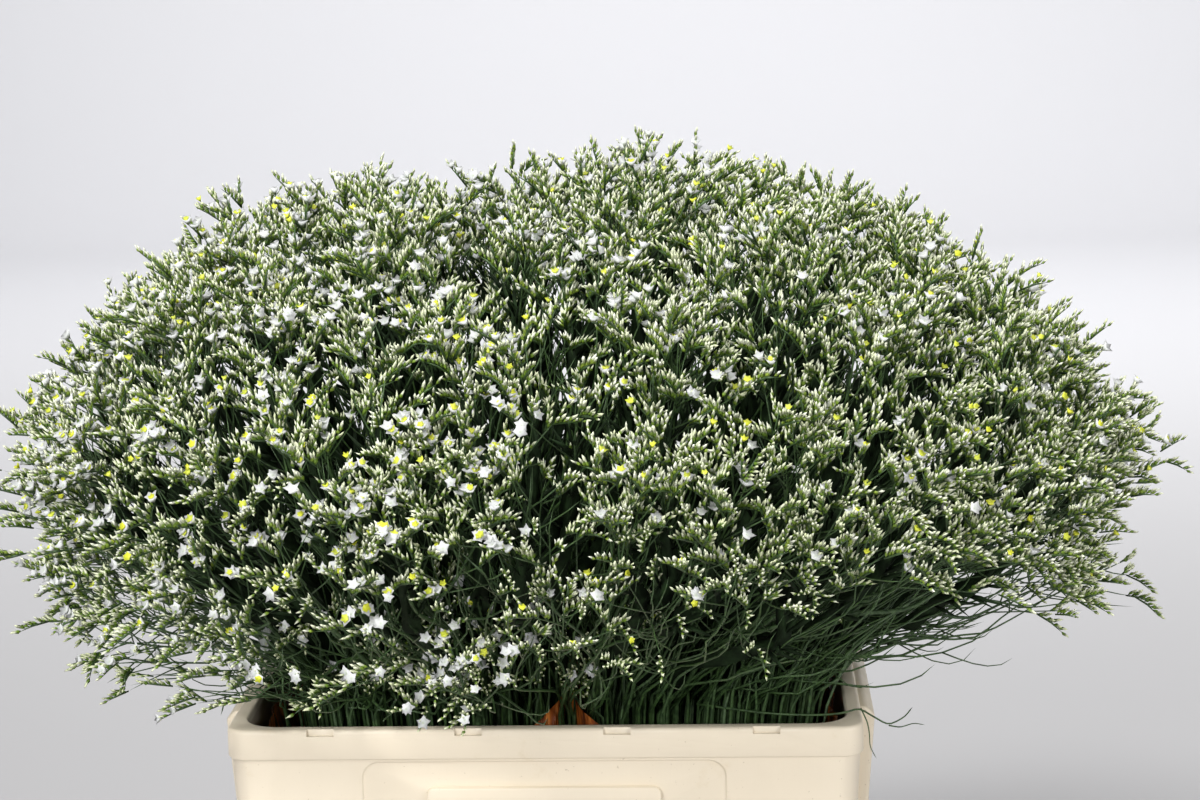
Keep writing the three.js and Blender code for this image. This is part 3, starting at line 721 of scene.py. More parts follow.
def backdrop_material():
    """Pale paper with a painted fall of light: greyer near the bucket than far behind it."""
    look = Look("backdrop_paper", {"Roughness": 0.9, "Specular IOR Level": 0.1})
    split = look.node("SeparateXYZ", {"Vector": look.place()})
    # painted shade: the floor darkens from far behind towards the bucket
    far = look.rise(split.outputs["Y"], 0.5, 5)
    paper = look.mix(far, (0.43, 0.425, 0.43), (0.76, 0.76, 0.785))
    clouds = look.rise(look.noise(0.6, 2), 0.2, 0.8, 0, 0.04)
    return look.finish(look.mix(clouds, paper, (0.5, 0.5, 0.5)))


# Statice: what belongs to what


def spread(ends):
    """Adds an axis for the heights along a path to every value of a set of ends."""
    return {key: value[:, None] for key, value in ends.items()}


def take(ends, index):
    return {key: value[index] for key, value in ends.items()}


def joined(sets):
    return {key: np.concatenate([part[key] for part in sets]) for key in sets[0]}


class Bouquet:
    """Plumes, the stems that carry them, and the bunch of each stem."""

    def __init__(self):
        plumes = make_plumes()
        middles, self.stem_of = group_stems(plumes)
        self.bunch = np.where(middles[:, 0] < BUNCH_SPLIT, -1, 1)
        _, base, direction = plume_ends(middles[:, 0], middles[:, 1], 0.0, 0.0)
        self.own = {"u": middles[:, 0], "v": middles[:, 1], "base": base, "direction": direction}
        self.ends = {key: plumes[key] for key in ("u", "v", "base", "direction")}
        gaps = [plumes[key] - self.own[key][self.stem_of] for key in ("u", "v")]
        away = np.hypot(*gaps)
        self.members = [
            sorted(np.flatnonzero(self.stem_of == stem), key=lambda plume: away[plume])
            for stem in range(STEMS)
        ]
        self.middle = np.array([members[0] for members in self.members])
        self.plume_bunch = self.bunch[self.stem_of]
        self.edge = np.hypot(plumes["u"], plumes["v"])


# Stems and twigs


def clears_rim(places):
    """Whether each place is above the rim, with more room where it stands out over the lip."""
    overhang = step_from(abs(places[..., 1]), LIP_START, LIP_SPAN)
    return places[..., 2] > LOWEST_GROWTH + LIP_ROOM * overhang


TAIL_PLACES = [0.27, 0.54, 0.8]
TAIL_SCATTER = 1.5
STEM_BEND = 3
COMPANION_BEND = 6
SHADE_BEND = 9


def tail_of(ends, length):
    """Three points up the axis of each spray, a little off its line."""
    places = np.array(TAIL_PLACES)[:, None] * np.reshape(length, (-1, 1, 1))
    tail = ends["base"][:, None] + ends["direction"][:, None] * places
    return tail + scatter(tail.shape) * TAIL_SCATTER


def heights_up(below, steps):
    """Heights along a path of growth: those below the bucket's mouth, then even steps to its end."""
    return np.concatenate([below, np.linspace(0, 1, steps)[1:]])


def stem_batch(paths, radii, sides, owner):
    """Round stems that taper evenly along their paths."""
    return tube_batch(paths, np.linspace(*radii, paths.shape[1]), sides, owner)


def grow_trunks(bouquet):
    """Main stems, from the bucket's floor up the axis of their middle plume."""
    heights = heights_up([-1, -0.5, 0], 14)
    height = np.broadcast_to(heights, (STEMS, len(heights)))
    share = step_from(height, LOWEST_FORK, 1 - LOWEST_FORK)
    middle = take(bouquet.ends, bouquet.middle)
    bunch = bouquet.bunch[:, None]
    paths = on_the_way(spread(bouquet.own), spread(middle), share, bunch, height)
    paths = np.concatenate([wander(paths, STEM_BEND), tail_of(middle, PLUME_LENGTH)], 1)
    return tube_batch(paths, np.interp(np.arange(paths.shape[1]), *TRUNK_RADII), 5, np.arange(STEMS))


def grow_side_twigs(bouquet):
    """Twigs from their fork on the trunk up to the other plumes. The outer plumes fork lowest."""
    plume, fork = [], []
    for members in bouquet.members:
        others = members[1:]
        late = np.linspace(1, 0, len(others)) if len(others) > 1 else [0.5]
        plume += others
        fork += [LOWEST_FORK + (HIGHEST_FORK - LOWEST_FORK) * place for place in late]
    plume, fork = np.array(plume), np.array(fork)
    stem = bouquet.stem_of[plume]
    own, ends = take(bouquet.own, stem), take(bouquet.ends, plume)
    middle, bunch = take(bouquet.ends, bouquet.middle[stem]), bouquet.bunch[stem]
    share = step_from(fork, LOWEST_FORK, 1 - LOWEST_FORK)
    root = on_the_way(own, middle, share, bunch, fork)
    steps = np.linspace(0, 1, 9)
    height = fork[:, None] + (1 - fork[:, None]) * steps
    share = np.broadcast_to(smooth_step(steps), height.shape)
    paths = on_the_way(spread(own), spread(ends), share, bunch[:, None], height)
    paths += (root - paths[:, 0])[:, None] * ((1 - steps) ** 2)[:, None]
    paths = np.concatenate([wander(paths, STEM_BEND), tail_of(ends, PLUME_LENGTH)], 1)
    return stem_batch(paths, SIDE_TWIG_RADII, 4, stem)


def beside_plumes(bouquet, jitter, depths, length):
    """Places beside the plumes in the disc, and the ends of sprays that stop below the crown."""
    moved = scatter((PLUMES, 2)) * jitter
    u, v = bouquet.ends["u"] + moved[:, 0], bouquet.ends["v"] + moved[:, 1]
    u, v = inside_disc(u, v)
    tilt = np.concatenate([scatter((PLUMES, 2)) * 0.3, np.zeros((PLUMES, 1))], -1)
    _, base, direction = plume_ends(u, v, RNG.uniform(*depths, PLUMES), tilt, length)
    return {"u": u, "v": v, "base": base, "direction": direction}


def own_paths(ends, bunch, heights, bend=COMPANION_BEND):
    """Paths from the bucket's floor to the base of each spray, whose own foot stands beside it."""
    height = np.broadcast_to(heights, (len(bunch), len(heights)))
    held = spread(ends)
    base = np.broadcast_to(held["base"], (*height.shape, 3))
    paths = growth_point(held["u"], held["v"], bunch[:, None], height, base, held["direction"])
    return wander(paths, bend)


def grow_bare_stems(bouquet):
    """Stems without flowers, which lean across the others, and thin twigs on them."""
    batches = []
    for _ in range(BARE_STEMS):
        ends = beside_plumes(bouquet, BARE_JITTER, BARE_DEPTHS, PLUME_LENGTH)
        ends["u"], ends["v"] = bouquet.ends["u"], bouquet.ends["v"]
        paths = own_paths(ends, bouquet.plume_bunch, heights_up([-1, 0], 10))
        batches.append(stem_batch(paths, BARE_RADII, 3, bouquet.stem_of))
        twigs, pick = twig_paths(paths, 3, BARE_TWIGS // BARE_STEMS)
        batches.append(stem_batch(twigs, BARE_TWIG_RADII, 3, bouquet.stem_of[pick]))
    return batches


def mouth_owner(bouquet, x, y):
    """The stem that crosses the bucket's mouth nearest to each place."""
    feet = level_point(bouquet.own["u"], bouquet.own["v"], bouquet.bunch, MOUTH_LEVEL)
    return nearest(feet[:, 0], feet[:, 1], x, y)


def twig_paths(stems, first_joint, count):
    """Paths of thin twigs that leave the stems at a sharp angle and curl upwards, and their stems."""
    pick = RNG.integers(0, len(stems), count)
    joint = RNG.integers(first_joint, stems.shape[1] - 2, count)
    root = stems[pick, joint]
    along = unit(stems[pick, joint + 1] - root)
    side = across(scatter(root.shape), along)
    length = RNG.uniform(*TWIG_LENGTH, count)[:, None]
    ahead, aside, reach = TWIG_FIRST
    first = root + (along * ahead + side * aside) * length * reach
    ahead, aside, reach = TWIG_SECOND
    second = root + (along * ahead + side * aside + [0, 0, 0.1]) * length * reach
    curl = side * RNG.uniform(*TWIG_CURL, (count, 1))
    end = second + (along + curl + [0, 0, 0.5]) * length * TWIG_END
    t = np.linspace(0, 1, 6)[:, None]
    paths = cubic(t, *(place[:, None] for place in (root, first, second, end)))
    above = clears_rim(paths).all(1)
    return paths[above], pick[above]


def front_stem_paths():
    """Upright stems close behind the front of the rim, that lean outwards near its right end."""
    right = RNG.random(FRONT_STEMS) < FRONT_RIGHT_SHARE
    places = [RNG.uniform(*reach, FRONT_STEMS) for reach in (FRONT_RIGHT_X, FRONT_LEFT_X)]
    x = np.where(right, *places)
    y = RNG.uniform(FRONT_Y[0], FRONT_Y[1] + FRONT_DEEPER * step_from(x, *FRONT_DEEPER_FROM))
    lean = np.maximum(x / FRONT_LEAN_X, 0) ** 2 * FRONT_LEAN + FRONT_LEAN_SCATTER * scatter(FRONT_STEMS)
    height = RNG.uniform(*FRONT_HEIGHT, FRONT_STEMS)
    mouth = np.stack([x, y, 0 * x + BUCKET_HEIGHT], -1)
    foot = mouth * [0.7, 0.7, 0] + [0, 0, FOOT_LEVEL[-1]]
    s = np.linspace(0, 1, 9)
    up = height[:, None] * s
    rise = np.stack([lean[:, None] * up * (0.5 + 0.5 * s), -FRONT_TOWARDS_EDGE * up * s, up], -1)
    return wander(np.concatenate([foot[:, None], mouth[:, None] + rise], 1), FRONT_BEND)


def grow_front_stems(bouquet):
    """The front stems, twigs on them, and the few short spikes that some of these twigs bear."""
    stems = front_stem_paths()
    owner = mouth_owner(bouquet, stems[:, 1, 0], stems[:, 1, 1])
    radii = np.linspace(*FRONT_RADII, stems.shape[1]) * RNG.uniform(0.75, 1.3, (FRONT_STEMS, 1))
    twigs, pick = twig_paths(stems, 2, FRONT_TWIGS)
    batches = [tube_batch(stems, radii, 5, owner), stem_batch(twigs, FRONT_TWIG_RADII, 3, owner[pick])]
    bearing = np.argsort(twigs[:, -1, 1])[:FRONT_SPIKES]
    shape = (len(bearing), 3)
    twigs, owner = twigs[bearing], owner[pick[bearing]]
    spikes = {
        "base": twigs[:, -1],
        "axis": unit(unit(twigs[:, -1] - twigs[:, -2]) + 0.2 * scatter(shape)),
        "out": unit(np.array([0, -0.8, 0.6]) + 0.4 * scatter(shape)),
        "owner": owner,
        "bunch": bouquet.bunch[owner],
        "length": RNG.uniform(*FRONT_SPIKE_LENGTH, len(bearing)),
    }
    return batches, spikes


def grow_painted_shade(bouquet):
    """Dark bodies of painted shade deep inside, where little light falls, along the way of each plume:
    twisted bundles and pointed blades in a nearly black material.
    """
    tip_height = bouquet.ends["base"][:, 2] + bouquet.ends["direction"][:, 2] * PLUME_LENGTH
    inside = bouquet.edge < np.where(tip_height > SHADE_HEIGHT, SHADE_EDGE_HIGH, SHADE_EDGE_LOW)
    paths = own_paths(bouquet.ends, bouquet.plume_bunch, np.linspace(0.1, 1, 7), SHADE_BEND)
    tail = bouquet.ends["base"] + bouquet.ends["direction"] * 22
    paths = np.concatenate([paths, tail[:, None]], 1)
    radii = np.interp(np.arange(8), [0, 2, 5, 7], [4, 6, 7, 1])
    # painted shade: dark bundles and blades put where the bunch is only in shade
    painted_shade_bundles = tube_batch(paths[inside], radii, 6, bouquet.stem_of[inside], True, [1, 0.4] * 3, 0.7, 1)
    pick = np.repeat(np.flatnonzero(inside), SHARDS)
    count = len(pick)
    joint = RNG.integers(3, 7, count)
    step = paths[pick, joint + 1] - paths[pick, joint]
    root = paths[pick, joint] + step * RNG.random((count, 1))
    along = unit(step)
    direction = unit(along + across(scatter(root.shape), along) * RNG.uniform(0.3, 1, (count, 1)))
    length = RNG.uniform(*SHARD_LENGTH, count)
    painted_shade_blades = finger_batch(root, direction, length, length * SHARD_WIDTH, [(SHARD_WAIST, 1)],
                          bouquet.stem_of[pick], RNG.random(count), 0.85, 0, 1)
    return [painted_shade_bundles, painted_shade_blades]


# A bare twig that has slipped over the right end of the rim, and its hanging fork
RIM_TWIG = [
    [[96, -104, 352], [140, -127, 352], [172, -133, 352.5], [188, -130, 353], [198, -126, 355],
     [208, -131, 350], [216, -134, 346], [226, -133, 351], [231, -131, 357]],
    [[199, -126, 355], [203, -131, 347], [204, -134, 340], [204, -136, 333], [208, -139, 326]],
    [[216, -134, 346], [223, -137, 345.5], [231, -139, 349], [238, -140, 348]],
]


def grow_rim_twig(bouquet):
    """The slipped twig belongs to the stem that stands nearest to its root."""
    x, y, _ = RIM_TWIG[0][0]
    owner = mouth_owner(bouquet, np.array([x]), np.array([y]))
    batches = []
    for thick, line in zip((0.85, 0.5, 0.5), RIM_TWIG):
        line = np.array(line, float)
        places = np.linspace(0, len(line) - 1, 3 * len(line))
        path = np.stack([np.interp(places, np.arange(len(line)), line[:, axis]) for axis in range(3)], -1)
        smooth = path.copy()
        smooth[1:-1] = (path[:-2] + path[1:-1] * 2 + path[2:]) / 4
        batches.append(stem_batch(smooth[None], (thick, thick * 0.5), 5, owner))
    return batches


# Sprays: branches, the spikes on them, and their spikelets


def spray_set(ends, length, radius, branches, rings, owner, bunch, outer):
    """Sprays of one kind. Outer is the share of the usual bloom on them."""
    return {"ends": ends, "length": np.full(len(owner), float(length)), "radius": radius,
            "branches": branches, "rings": rings, "owner": owner, "bunch": bunch, "outer": outer}


def local_frame(direction):
    start = np.broadcast_to([0.0, 0.0, 1.0], direction.shape) + 0.4 * scatter(direction.shape)
    normal = across(start, direction)
    return normal, np.cross(direction, normal)


# Branches of a spray, in shares of its length: where they leave its axis, and where the highest end.
# Their reach is in shares of the spray's radius
BRANCH_START = 0.06
BRANCH_SPAN = 0.55
BRANCH_END = 0.84
BRANCH_REACH = 1.45
BRANCH_LEAN = (0.5, 0.95)
LEAN_AT_START = 1.3
LEAN_AT_END = 0.8


def grow_branches(sprays):
    """Branches that leave each spray's axis in turn and end near its top, like a broom's."""
    ends, count, length = sprays["ends"], sprays["branches"], sprays["length"][:, None]
    total = len(length)
    normal, side = local_frame(ends["direction"])
    order = np.arange(count)
    place = BRANCH_START + order / count * BRANCH_SPAN + scatter((total, count)) * 0.05
    turn = RNG.uniform(0, 2 * math.pi, (total, 1)) + order * GOLDEN_ANGLE
    turn = turn + scatter((total, count)) * 0.5
    outward = normal[:, None] * np.cos(turn)[..., None] + side[:, None] * np.sin(turn)[..., None]
    axis = np.broadcast_to(ends["direction"][:, None], outward.shape)
    root = ends["base"][:, None] + axis * (place * length)[..., None]
    rest = (BRANCH_END - place) * length * RNG.uniform(0.72, 1, place.shape)
    reach = np.minimum(rest, sprays["radius"] * BRANCH_REACH)[..., None]
    lean = RNG.uniform(*BRANCH_LEAN, (*place.shape, 1))
    start = unit(axis + outward * lean * LEAN_AT_START + scatter(outward.shape) * 0.1)
    end = unit(axis + outward * lean * LEAN_AT_END + scatter(outward.shape) * 0.25)
    bend = root + start * reach * 0.5
    tip = bend + end * reach * 0.5
    branches = {key: places.reshape(-1, 3) for key, places in
                (("root", root), ("bend", bend), ("tip", tip), ("out", axis))}
    for key in ("owner", "bunch"):
        branches[key] = np.repeat(sprays[key], count)
    return take(branches, clears_rim(branches["tip"]))


def along_branch(branches, t):
    root, bend, tip = branches["root"], branches["bend"], branches["tip"]
    return (1 - t) ** 2 * root + 2 * (1 - t) * t * bend + t**2 * tip


def branch_batch(branches):
    paths = np.stack([along_branch(branches, t) for t in BRANCH_STEPS], 1)
    return tube_batch(paths, np.array([0.6, 0.52, 0.45, 0.3]), 3, branches["owner"])


# Spikes on a branch: place along it, sideways turn, share of the full length, and chance
SPIKE_PLACES = [(1, 0, 1, 1), (0.84, 0.85, 0.9, 0.95), (0.66, -0.85, 0.85, 0.75), (0.46, 0.9, 0.7, 0.3)]


def spikes_on(branches):
    """A spike at the end of each branch, and some that leave it sideways."""
    sets = []
    end = unit(branches["tip"] - branches["bend"])
    side = unit(np.cross(end, branches["out"]) + 1e-6)
    for place, turn, size, chance in SPIKE_PLACES:
        kept = RNG.random(len(end)) < chance
        axis = unit(end + side * turn + branches["out"] * 0.3 * abs(turn) + 0.18 * scatter(end.shape))
        spikes = {key: branches[key] for key in ("out", "owner", "bunch")}
        spikes = take({**spikes, "base": along_branch(branches, place), "axis": axis}, kept)
        sets.append({**spikes, "length": RNG.uniform(*SPIKE_LENGTH, kept.sum()) * size})
    return joined(sets)


TERMINAL_PLACE = 0.74
TERMINAL_LENGTH = 0.2


def terminal_spikes(sprays):
    """A pair of spikes at the end of each spray's axis."""
    sets = []
    base, direction = sprays["ends"]["base"], sprays["ends"]["direction"]
    length = sprays["length"]
    for sign in (-1, 1):
        side = across(scatter(direction.shape), direction)
        sets.append({
            "base": base + direction * (length * TERMINAL_PLACE)[:, None],
            "axis": unit(direction + side * 0.35 * sign),
            "out": unit(direction + side * 0.9),
            "owner": sprays["owner"],
            "bunch": sprays["bunch"],
            "length": length * TERMINAL_LENGTH,
        })
    return joined(sets)


# Sparse patches all over the crown: count of waves, their length, and the greatest share left out
GAP_WAVES = 7
GAP_LENGTH = (55, 105)
GAP_START = 0.5
GAP_SPAN = 1.6
GAP_SHARE = 0.8
# Bare twigs low on each side: their greatest share, x where they start and how far on they reach it,
# and the same downwards from a height
BARE_SIDES = [(0.6, -90, -120, 450, 90), (0.4, 150, 150, 520, 90)]


def gap_waves():
    """Waves in all directions, whose sum swells where the growth is sparse."""
    turns = unit(scatter((GAP_WAVES, 3))) * 2 * math.pi / RNG.uniform(*GAP_LENGTH, (GAP_WAVES, 1))
    return turns, RNG.uniform(0, 2 * math.pi, GAP_WAVES)


def thinned(spikes, waves):
    """Low on both sides many twigs are bare, and so they are in sparse patches of the crown."""
    x, _, z = spikes["base"].T
    turns, phases = waves
    swell = np.sin(spikes["base"] @ turns.T + phases).sum(-1)
    left, right = (
        share * (step_from(x, start, span) * smooth_step((top - z) / drop))
        for share, start, span, top, drop in BARE_SIDES
    )
    gaps = GAP_SHARE * step_from(swell, GAP_START, GAP_SPAN)
    bare = 1 - (1 - left) * (1 - right) * (1 - gaps)
    tip = spikes["base"] + spikes["axis"] * spikes["length"][:, None]
    return take(spikes, (RNG.random(len(x)) > bare) & clears_rim(tip))


SPIKE_BOW = (0.08, 0.4)
SPIKELET_LEAN = (0.1, 0.34)


def spike_layout(spikes):
    """Axis points of each spike, and the root, direction and length of each of its spikelets."""
    axis = spikes["axis"]
    comb = across(spikes["out"] + 0.35 * scatter(axis.shape) + [0, 0, 0.25], axis)
    side = np.cross(axis, comb)
    t = (np.arange(SPIKELETS) + 0.5) / SPIKELETS
    bow = RNG.uniform(*SPIKE_BOW, (len(axis), 1))
    length = spikes["length"][:, None]

    def at(place):
        along = axis[:, None] * (place * length)[..., None]
        return spikes["base"][:, None] + along - comb[:, None] * (bow * place**2 * length)[..., None]

    root = at(np.broadcast_to(t, (len(axis), SPIKELETS)))
    tangent = unit(axis[:, None] - comb[:, None] * (2 * bow * t)[..., None])
    lean = np.where(np.arange(SPIKELETS) % 2 == 0, 1, -1) * RNG.uniform(*SPIKELET_LEAN, root.shape[:2])
    lift = np.interp(t, [0, 0.85, 1], [0.8, 0.55, 0.1]) * RNG.uniform(0.8, 1.15, root.shape[:2])
    lean = lean * np.interp(t, [0, 0.9, 1], [1, 0.8, 0.2])
    direction = unit(tangent + comb[:, None] * lift[..., None] + side[:, None] * lean[..., None])
    size = np.interp(t, [0, 0.3, 1], [0.95, 1.05, 0.85]) * RNG.uniform(*SPIKELET_LENGTH, root.shape[:2])
    rail = at(np.broadcast_to([0.0, 0.55, 1.0], (len(axis), 3)))
    return rail, root, direction, size


RAIL_RADII = [0.65, 0.9, 0.3]
BUD_WIDTH = 0.34
BUD_SHARE = 0.96
# Rings of a bud: place along it, and share of its width
BUD_RINGS = [(0.3, 1), (0.74, 0.72)]
# In the left and the right bunch: share of the spikes that bloom, of open calyces on such a spike, and
# of yellow flowers in these
BLOOMING = (0.56, 0.22)
OPEN_SHARE = (0.19, 0.13)
GOLDEN_SHARE = (0.42, 0.22)
YELLOW_TIPS = 0.012
# Least share of open calyces and of freshness, low in the bunches, and how alike a spike's buds are
LEAST_OPEN = 0.35
LEAST_FRESH = 0.3
LIKENESS = 0.6
GOLDEN_LIFT = 0.3
BUDDING_LIFT = 0.62
# Height from which the growth is fresh, open or yellow, and the height over which it becomes so
FRESH_FROM = (360, 110)
OPEN_FROM = (360, 90)
YELLOW_FROM = (370, 130)
FEW_YELLOW_FROM = (590, 60)
# Open calyx and yellow flower: depth, radius, and reach of the dips between the points
CALYX = ((5, 6.6), (3.6, 5), 0.62)
COROLLA = ((3.4, 4.4), (2.1, 3), 0.72)


def stars_on(spikelets, chosen, lift, form, material):
    """Open flowers on the chosen spikelets, at a share of their length."""
    root, facing, size, owner = (spikelets[key][chosen] for key in ("root", "facing", "size", "owner"))
    depth, radius, inner = form
    return star_batch(root + facing * (size * lift)[:, None], facing, RNG.uniform(*depth, len(root)),
                      RNG.uniform(*radius, len(root)), inner, owner, material)


def grow_flowers(spikes, rings, outer):
    """Batches of the spikelets of a set of spikes: rails, buds, open calyces and yellow flowers."""
    rail, root, direction, size = spike_layout(spikes)
    rails = tube_batch(rail, np.array(RAIL_RADII), 3, spikes["owner"])
    root, direction, size = root.reshape(-1, 3), direction.reshape(-1, 3), size.ravel()
    owner, out = (np.repeat(spikes[key], SPIKELETS, axis=0) for key in ("owner", "out"))
    left, count, z = spikes["bunch"] < 0, len(root), root[:, 2]
    blooming = RNG.random(len(left)) < np.where(left, *BLOOMING) * outer
    share = np.repeat(np.where(left, *OPEN_SHARE) * blooming, SPIKELETS)
    is_open = RNG.random(count) < share * (LEAST_OPEN + (1 - LEAST_OPEN) * step_from(z, *OPEN_FROM))
    kept = (RNG.random(count) < BUD_SHARE) & ~is_open
    tone = np.repeat(RNG.random(len(rail)), SPIKELETS) * LIKENESS + RNG.random(count) * (1 - LIKENESS)
    tone = tone * (LEAST_FRESH + (1 - LEAST_FRESH) * step_from(z, *FRESH_FROM))
    width = size * BUD_WIDTH * RNG.uniform(0.85, 1.1, count)
    buds = finger_batch(*(part[kept] for part in (root, direction, size, width)), BUD_RINGS[:rings],
                        owner[kept], tone[kept])
    facing = unit(direction + out * 0.8 + 0.3 * scatter(root.shape))
    spikelets = {"root": root, "facing": facing, "size": size, "owner": owner}
    calyces = stars_on(spikelets, is_open, 0, CALYX, 1)
    ripe = step_from(z, *YELLOW_FROM)
    golden_share = np.repeat(np.where(left, *GOLDEN_SHARE), SPIKELETS) * ripe
    golden_share = golden_share * (1 - 0.6 * step_from(z, *FEW_YELLOW_FROM))
    golden = is_open & (RNG.random(count) < golden_share)
    budding = kept & (RNG.random(count) < YELLOW_TIPS * outer * ripe)
    flowers = stars_on(spikelets, golden, GOLDEN_LIFT, COROLLA, 2)
    return rails, [buds, calyces, flowers, stars_on(spikelets, budding, BUDDING_LIFT, COROLLA, 2)]


def hanging_ends(bouquet):
    """Ends of the small sprays at the left front, and the stem that each belongs to."""
    tips = np.array([[x, HANGING_Y, z] for x, z in HANGING_SPRAYS], float)
    tips[:, 1] += scatter(len(tips)) * HANGING_SCATTER
    x = tips[:, 0]
    direction = np.stack([x * 0.004 + 0.2, x * 0 - 1, x * 0 + 0.25], -1)
    direction = unit(direction + scatter(tips.shape) * 0.25)
    u, v = (x + 10) / MOUTH_LEVEL[0] * 0.8, np.full(len(tips), -0.72)
    owner = nearest(bouquet.own["u"], bouquet.own["v"], u, v)
    return {"u": u, "v": v, "base": tips - direction * HANGING_LENGTH, "direction": direction}, owner


def grow_sprays(bouquet):
    """All sprays, and the twigs of those that stand beside the plumes or hang to the rim."""
    stem_of, bunch = bouquet.stem_of, bouquet.plume_bunch
    heights = heights_up([-1, -0.5, 0], 12)
    sprays = [spray_set(bouquet.ends, PLUME_LENGTH, PLUME_RADIUS, PLUME_BRANCHES, 2, stem_of, bunch, 1)]
    twigs = []
    for share, branches, depths, is_open in COMPANION_SPRAYS:
        length = PLUME_LENGTH * share
        ends = beside_plumes(bouquet, COMPANION_JITTER, depths, length)
        paths = np.concatenate([own_paths(ends, bunch, heights), tail_of(ends, length)], 1)
        twigs.append(stem_batch(paths, COMPANION_RADII, 4, stem_of))
        kept = (bouquet.edge < COMPANION_EDGE) | (RNG.random(PLUMES) < 0.5)
        sprays.append(spray_set(take(ends, kept), length, PLUME_RADIUS * (0.15 + share), branches,
                                2 if is_open else 1, stem_of[kept], bunch[kept], is_open))
    ends, owner = hanging_ends(bouquet)
    bunch = bouquet.bunch[owner]
    twigs.append(stem_batch(own_paths(ends, bunch, heights, STEM_BEND), HANGING_RADII, 4, owner))
    sprays.append(spray_set(ends, HANGING_LENGTH, HANGING_RADIUS, HANGING_BRANCHES, 2, owner, bunch, 1))
    return sprays, twigs


def make_statice():
    bouquet = Bouquet()
    green = [grow_trunks(bouquet), grow_side_twigs(bouquet)]
    sprays, twigs = grow_sprays(bouquet)
    front, front_spikes = grow_front_stems(bouquet)
    green += twigs + front
    # The inner dark bodies are painted shade, put where the bunches are only in shade.
    for grow in (grow_bare_stems, grow_painted_shade, grow_rim_twig):
        green += grow(bouquet)
    rails, white = grow_flowers(front_spikes, 2, FRONT_BLOOM)
    green.append(rails)
    waves = gap_waves()
    for spray in sprays:
        branches = grow_branches(spray)
        green.append(branch_batch(branches))
        spikes = thinned(joined([spikes_on(branches), terminal_spikes(spray)]), waves)
        rails, flowers = grow_flowers(spikes, spray["rings"], spray["outer"])
        green.append(rails)
        white += flowers
    dress_stems(bouquet, green, white)


def dress_stems(bouquet, green, white):
    """Two pieces for each stem of the part: its green growth, with the dark bodies of painted shade, and its
    spikelets and flowers.
    """
    stem_looks = [stem_material(), shade_material()]
    flower_looks = [bud_material(), calyx_material(), corolla_material()]
    counts = {"left": 0, "right": 0}
    for stem in range(STEMS):
        side = "left" if bouquet.bunch[stem] < 0 else "right"
        counts[side] += 1
        node = f"{side}_stem_{counts[side]:02d}"
        twigs = object_from(node + "_twigs", green, stem, stem_looks)
        spikes = object_from(node + "_spikes", white, stem, flower_looks)
        for piece in (twigs, spikes):
            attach(piece, "root")
        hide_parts(node)


make_statice()


# Bucket and film

CORNER_STEPS = 8
FOOT_ROUND = 4
LIP_ROUND = 2.5
MOUTH_ROUND = 1.6
INNER_FILLET = 8
BAND_FILLET = 0.8
PANEL_DRAFT = 0.9
EDGE_ROUND = 0.6
GRIP_ROUND = 2.5
ROUND_ANGLE = 34
SHARP_ANGLE = 50
FILM_COLUMNS = 132
FILM_ROWS = 14
FILM_CRUMPLE = 3
FILM_TATTER = 5
# Count of waves round the film, and where each set starts
FILM_WAVES = [(9, 2.2), (17, 0.7), (31, 4.1), (47, 1.3)]


def rounded_ring(length, width, corner, z):
    """Points round a rectangle with round corners, anticlockwise seen from above."""
    ring = []
    for quarter, (sign_x, sign_y) in enumerate(((1, 1), (-1, 1), (-1, -1), (1, -1))):
        x, y = sign_x * (length / 2 - corner), sign_y * (width / 2 - corner)
        for step in range(CORNER_STEPS + 1):
            angle = (quarter + step / CORNER_STEPS) * math.pi / 2
            ring.append((x + corner * math.cos(angle), y + corner * math.sin(angle), z))
    return np.array(ring)


def wall_size(z):
    """Outer length and width of the bucket's wall at a height."""
    share = z / (BUCKET_HEIGHT - RIM_BAND)
    length = BASE_LENGTH + (RIM_LENGTH - 2 * RIM_STEP - BASE_LENGTH) * share
    width = BASE_WIDTH + (RIM_WIDTH - 2 * RIM_STEP - BASE_WIDTH) * share
    return length, width


def quarter_turn(radius, steps=4):
    """Run-in and rise of a rounded edge, from its start to its end."""
    angles = np.linspace(0, math.pi / 2, steps)
    return [(radius * (1 - math.cos(angle)), radius * math.sin(angle)) for angle in angles]


def inset_ring(length, width, corner, inset, z):
    """Ring that is moved in from an outline, with no corner too sharp."""
    return rounded_ring(length - 2 * inset, width - 2 * inset, max(corner - inset, 2), z)


def wall_ring(inset, z):
    corner = BASE_CORNER + (RIM_CORNER - BASE_CORNER) * z / BUCKET_HEIGHT
    return inset_ring(*wall_size(z), corner, inset, z)


def rim_ring(inset, z):
    return inset_ring(RIM_LENGTH, RIM_WIDTH, RIM_CORNER, inset, z)


def mouth_ring(inset, z):
    return inset_ring(MOUTH_LENGTH, MOUTH_WIDTH, MOUTH_CORNER, inset, z)


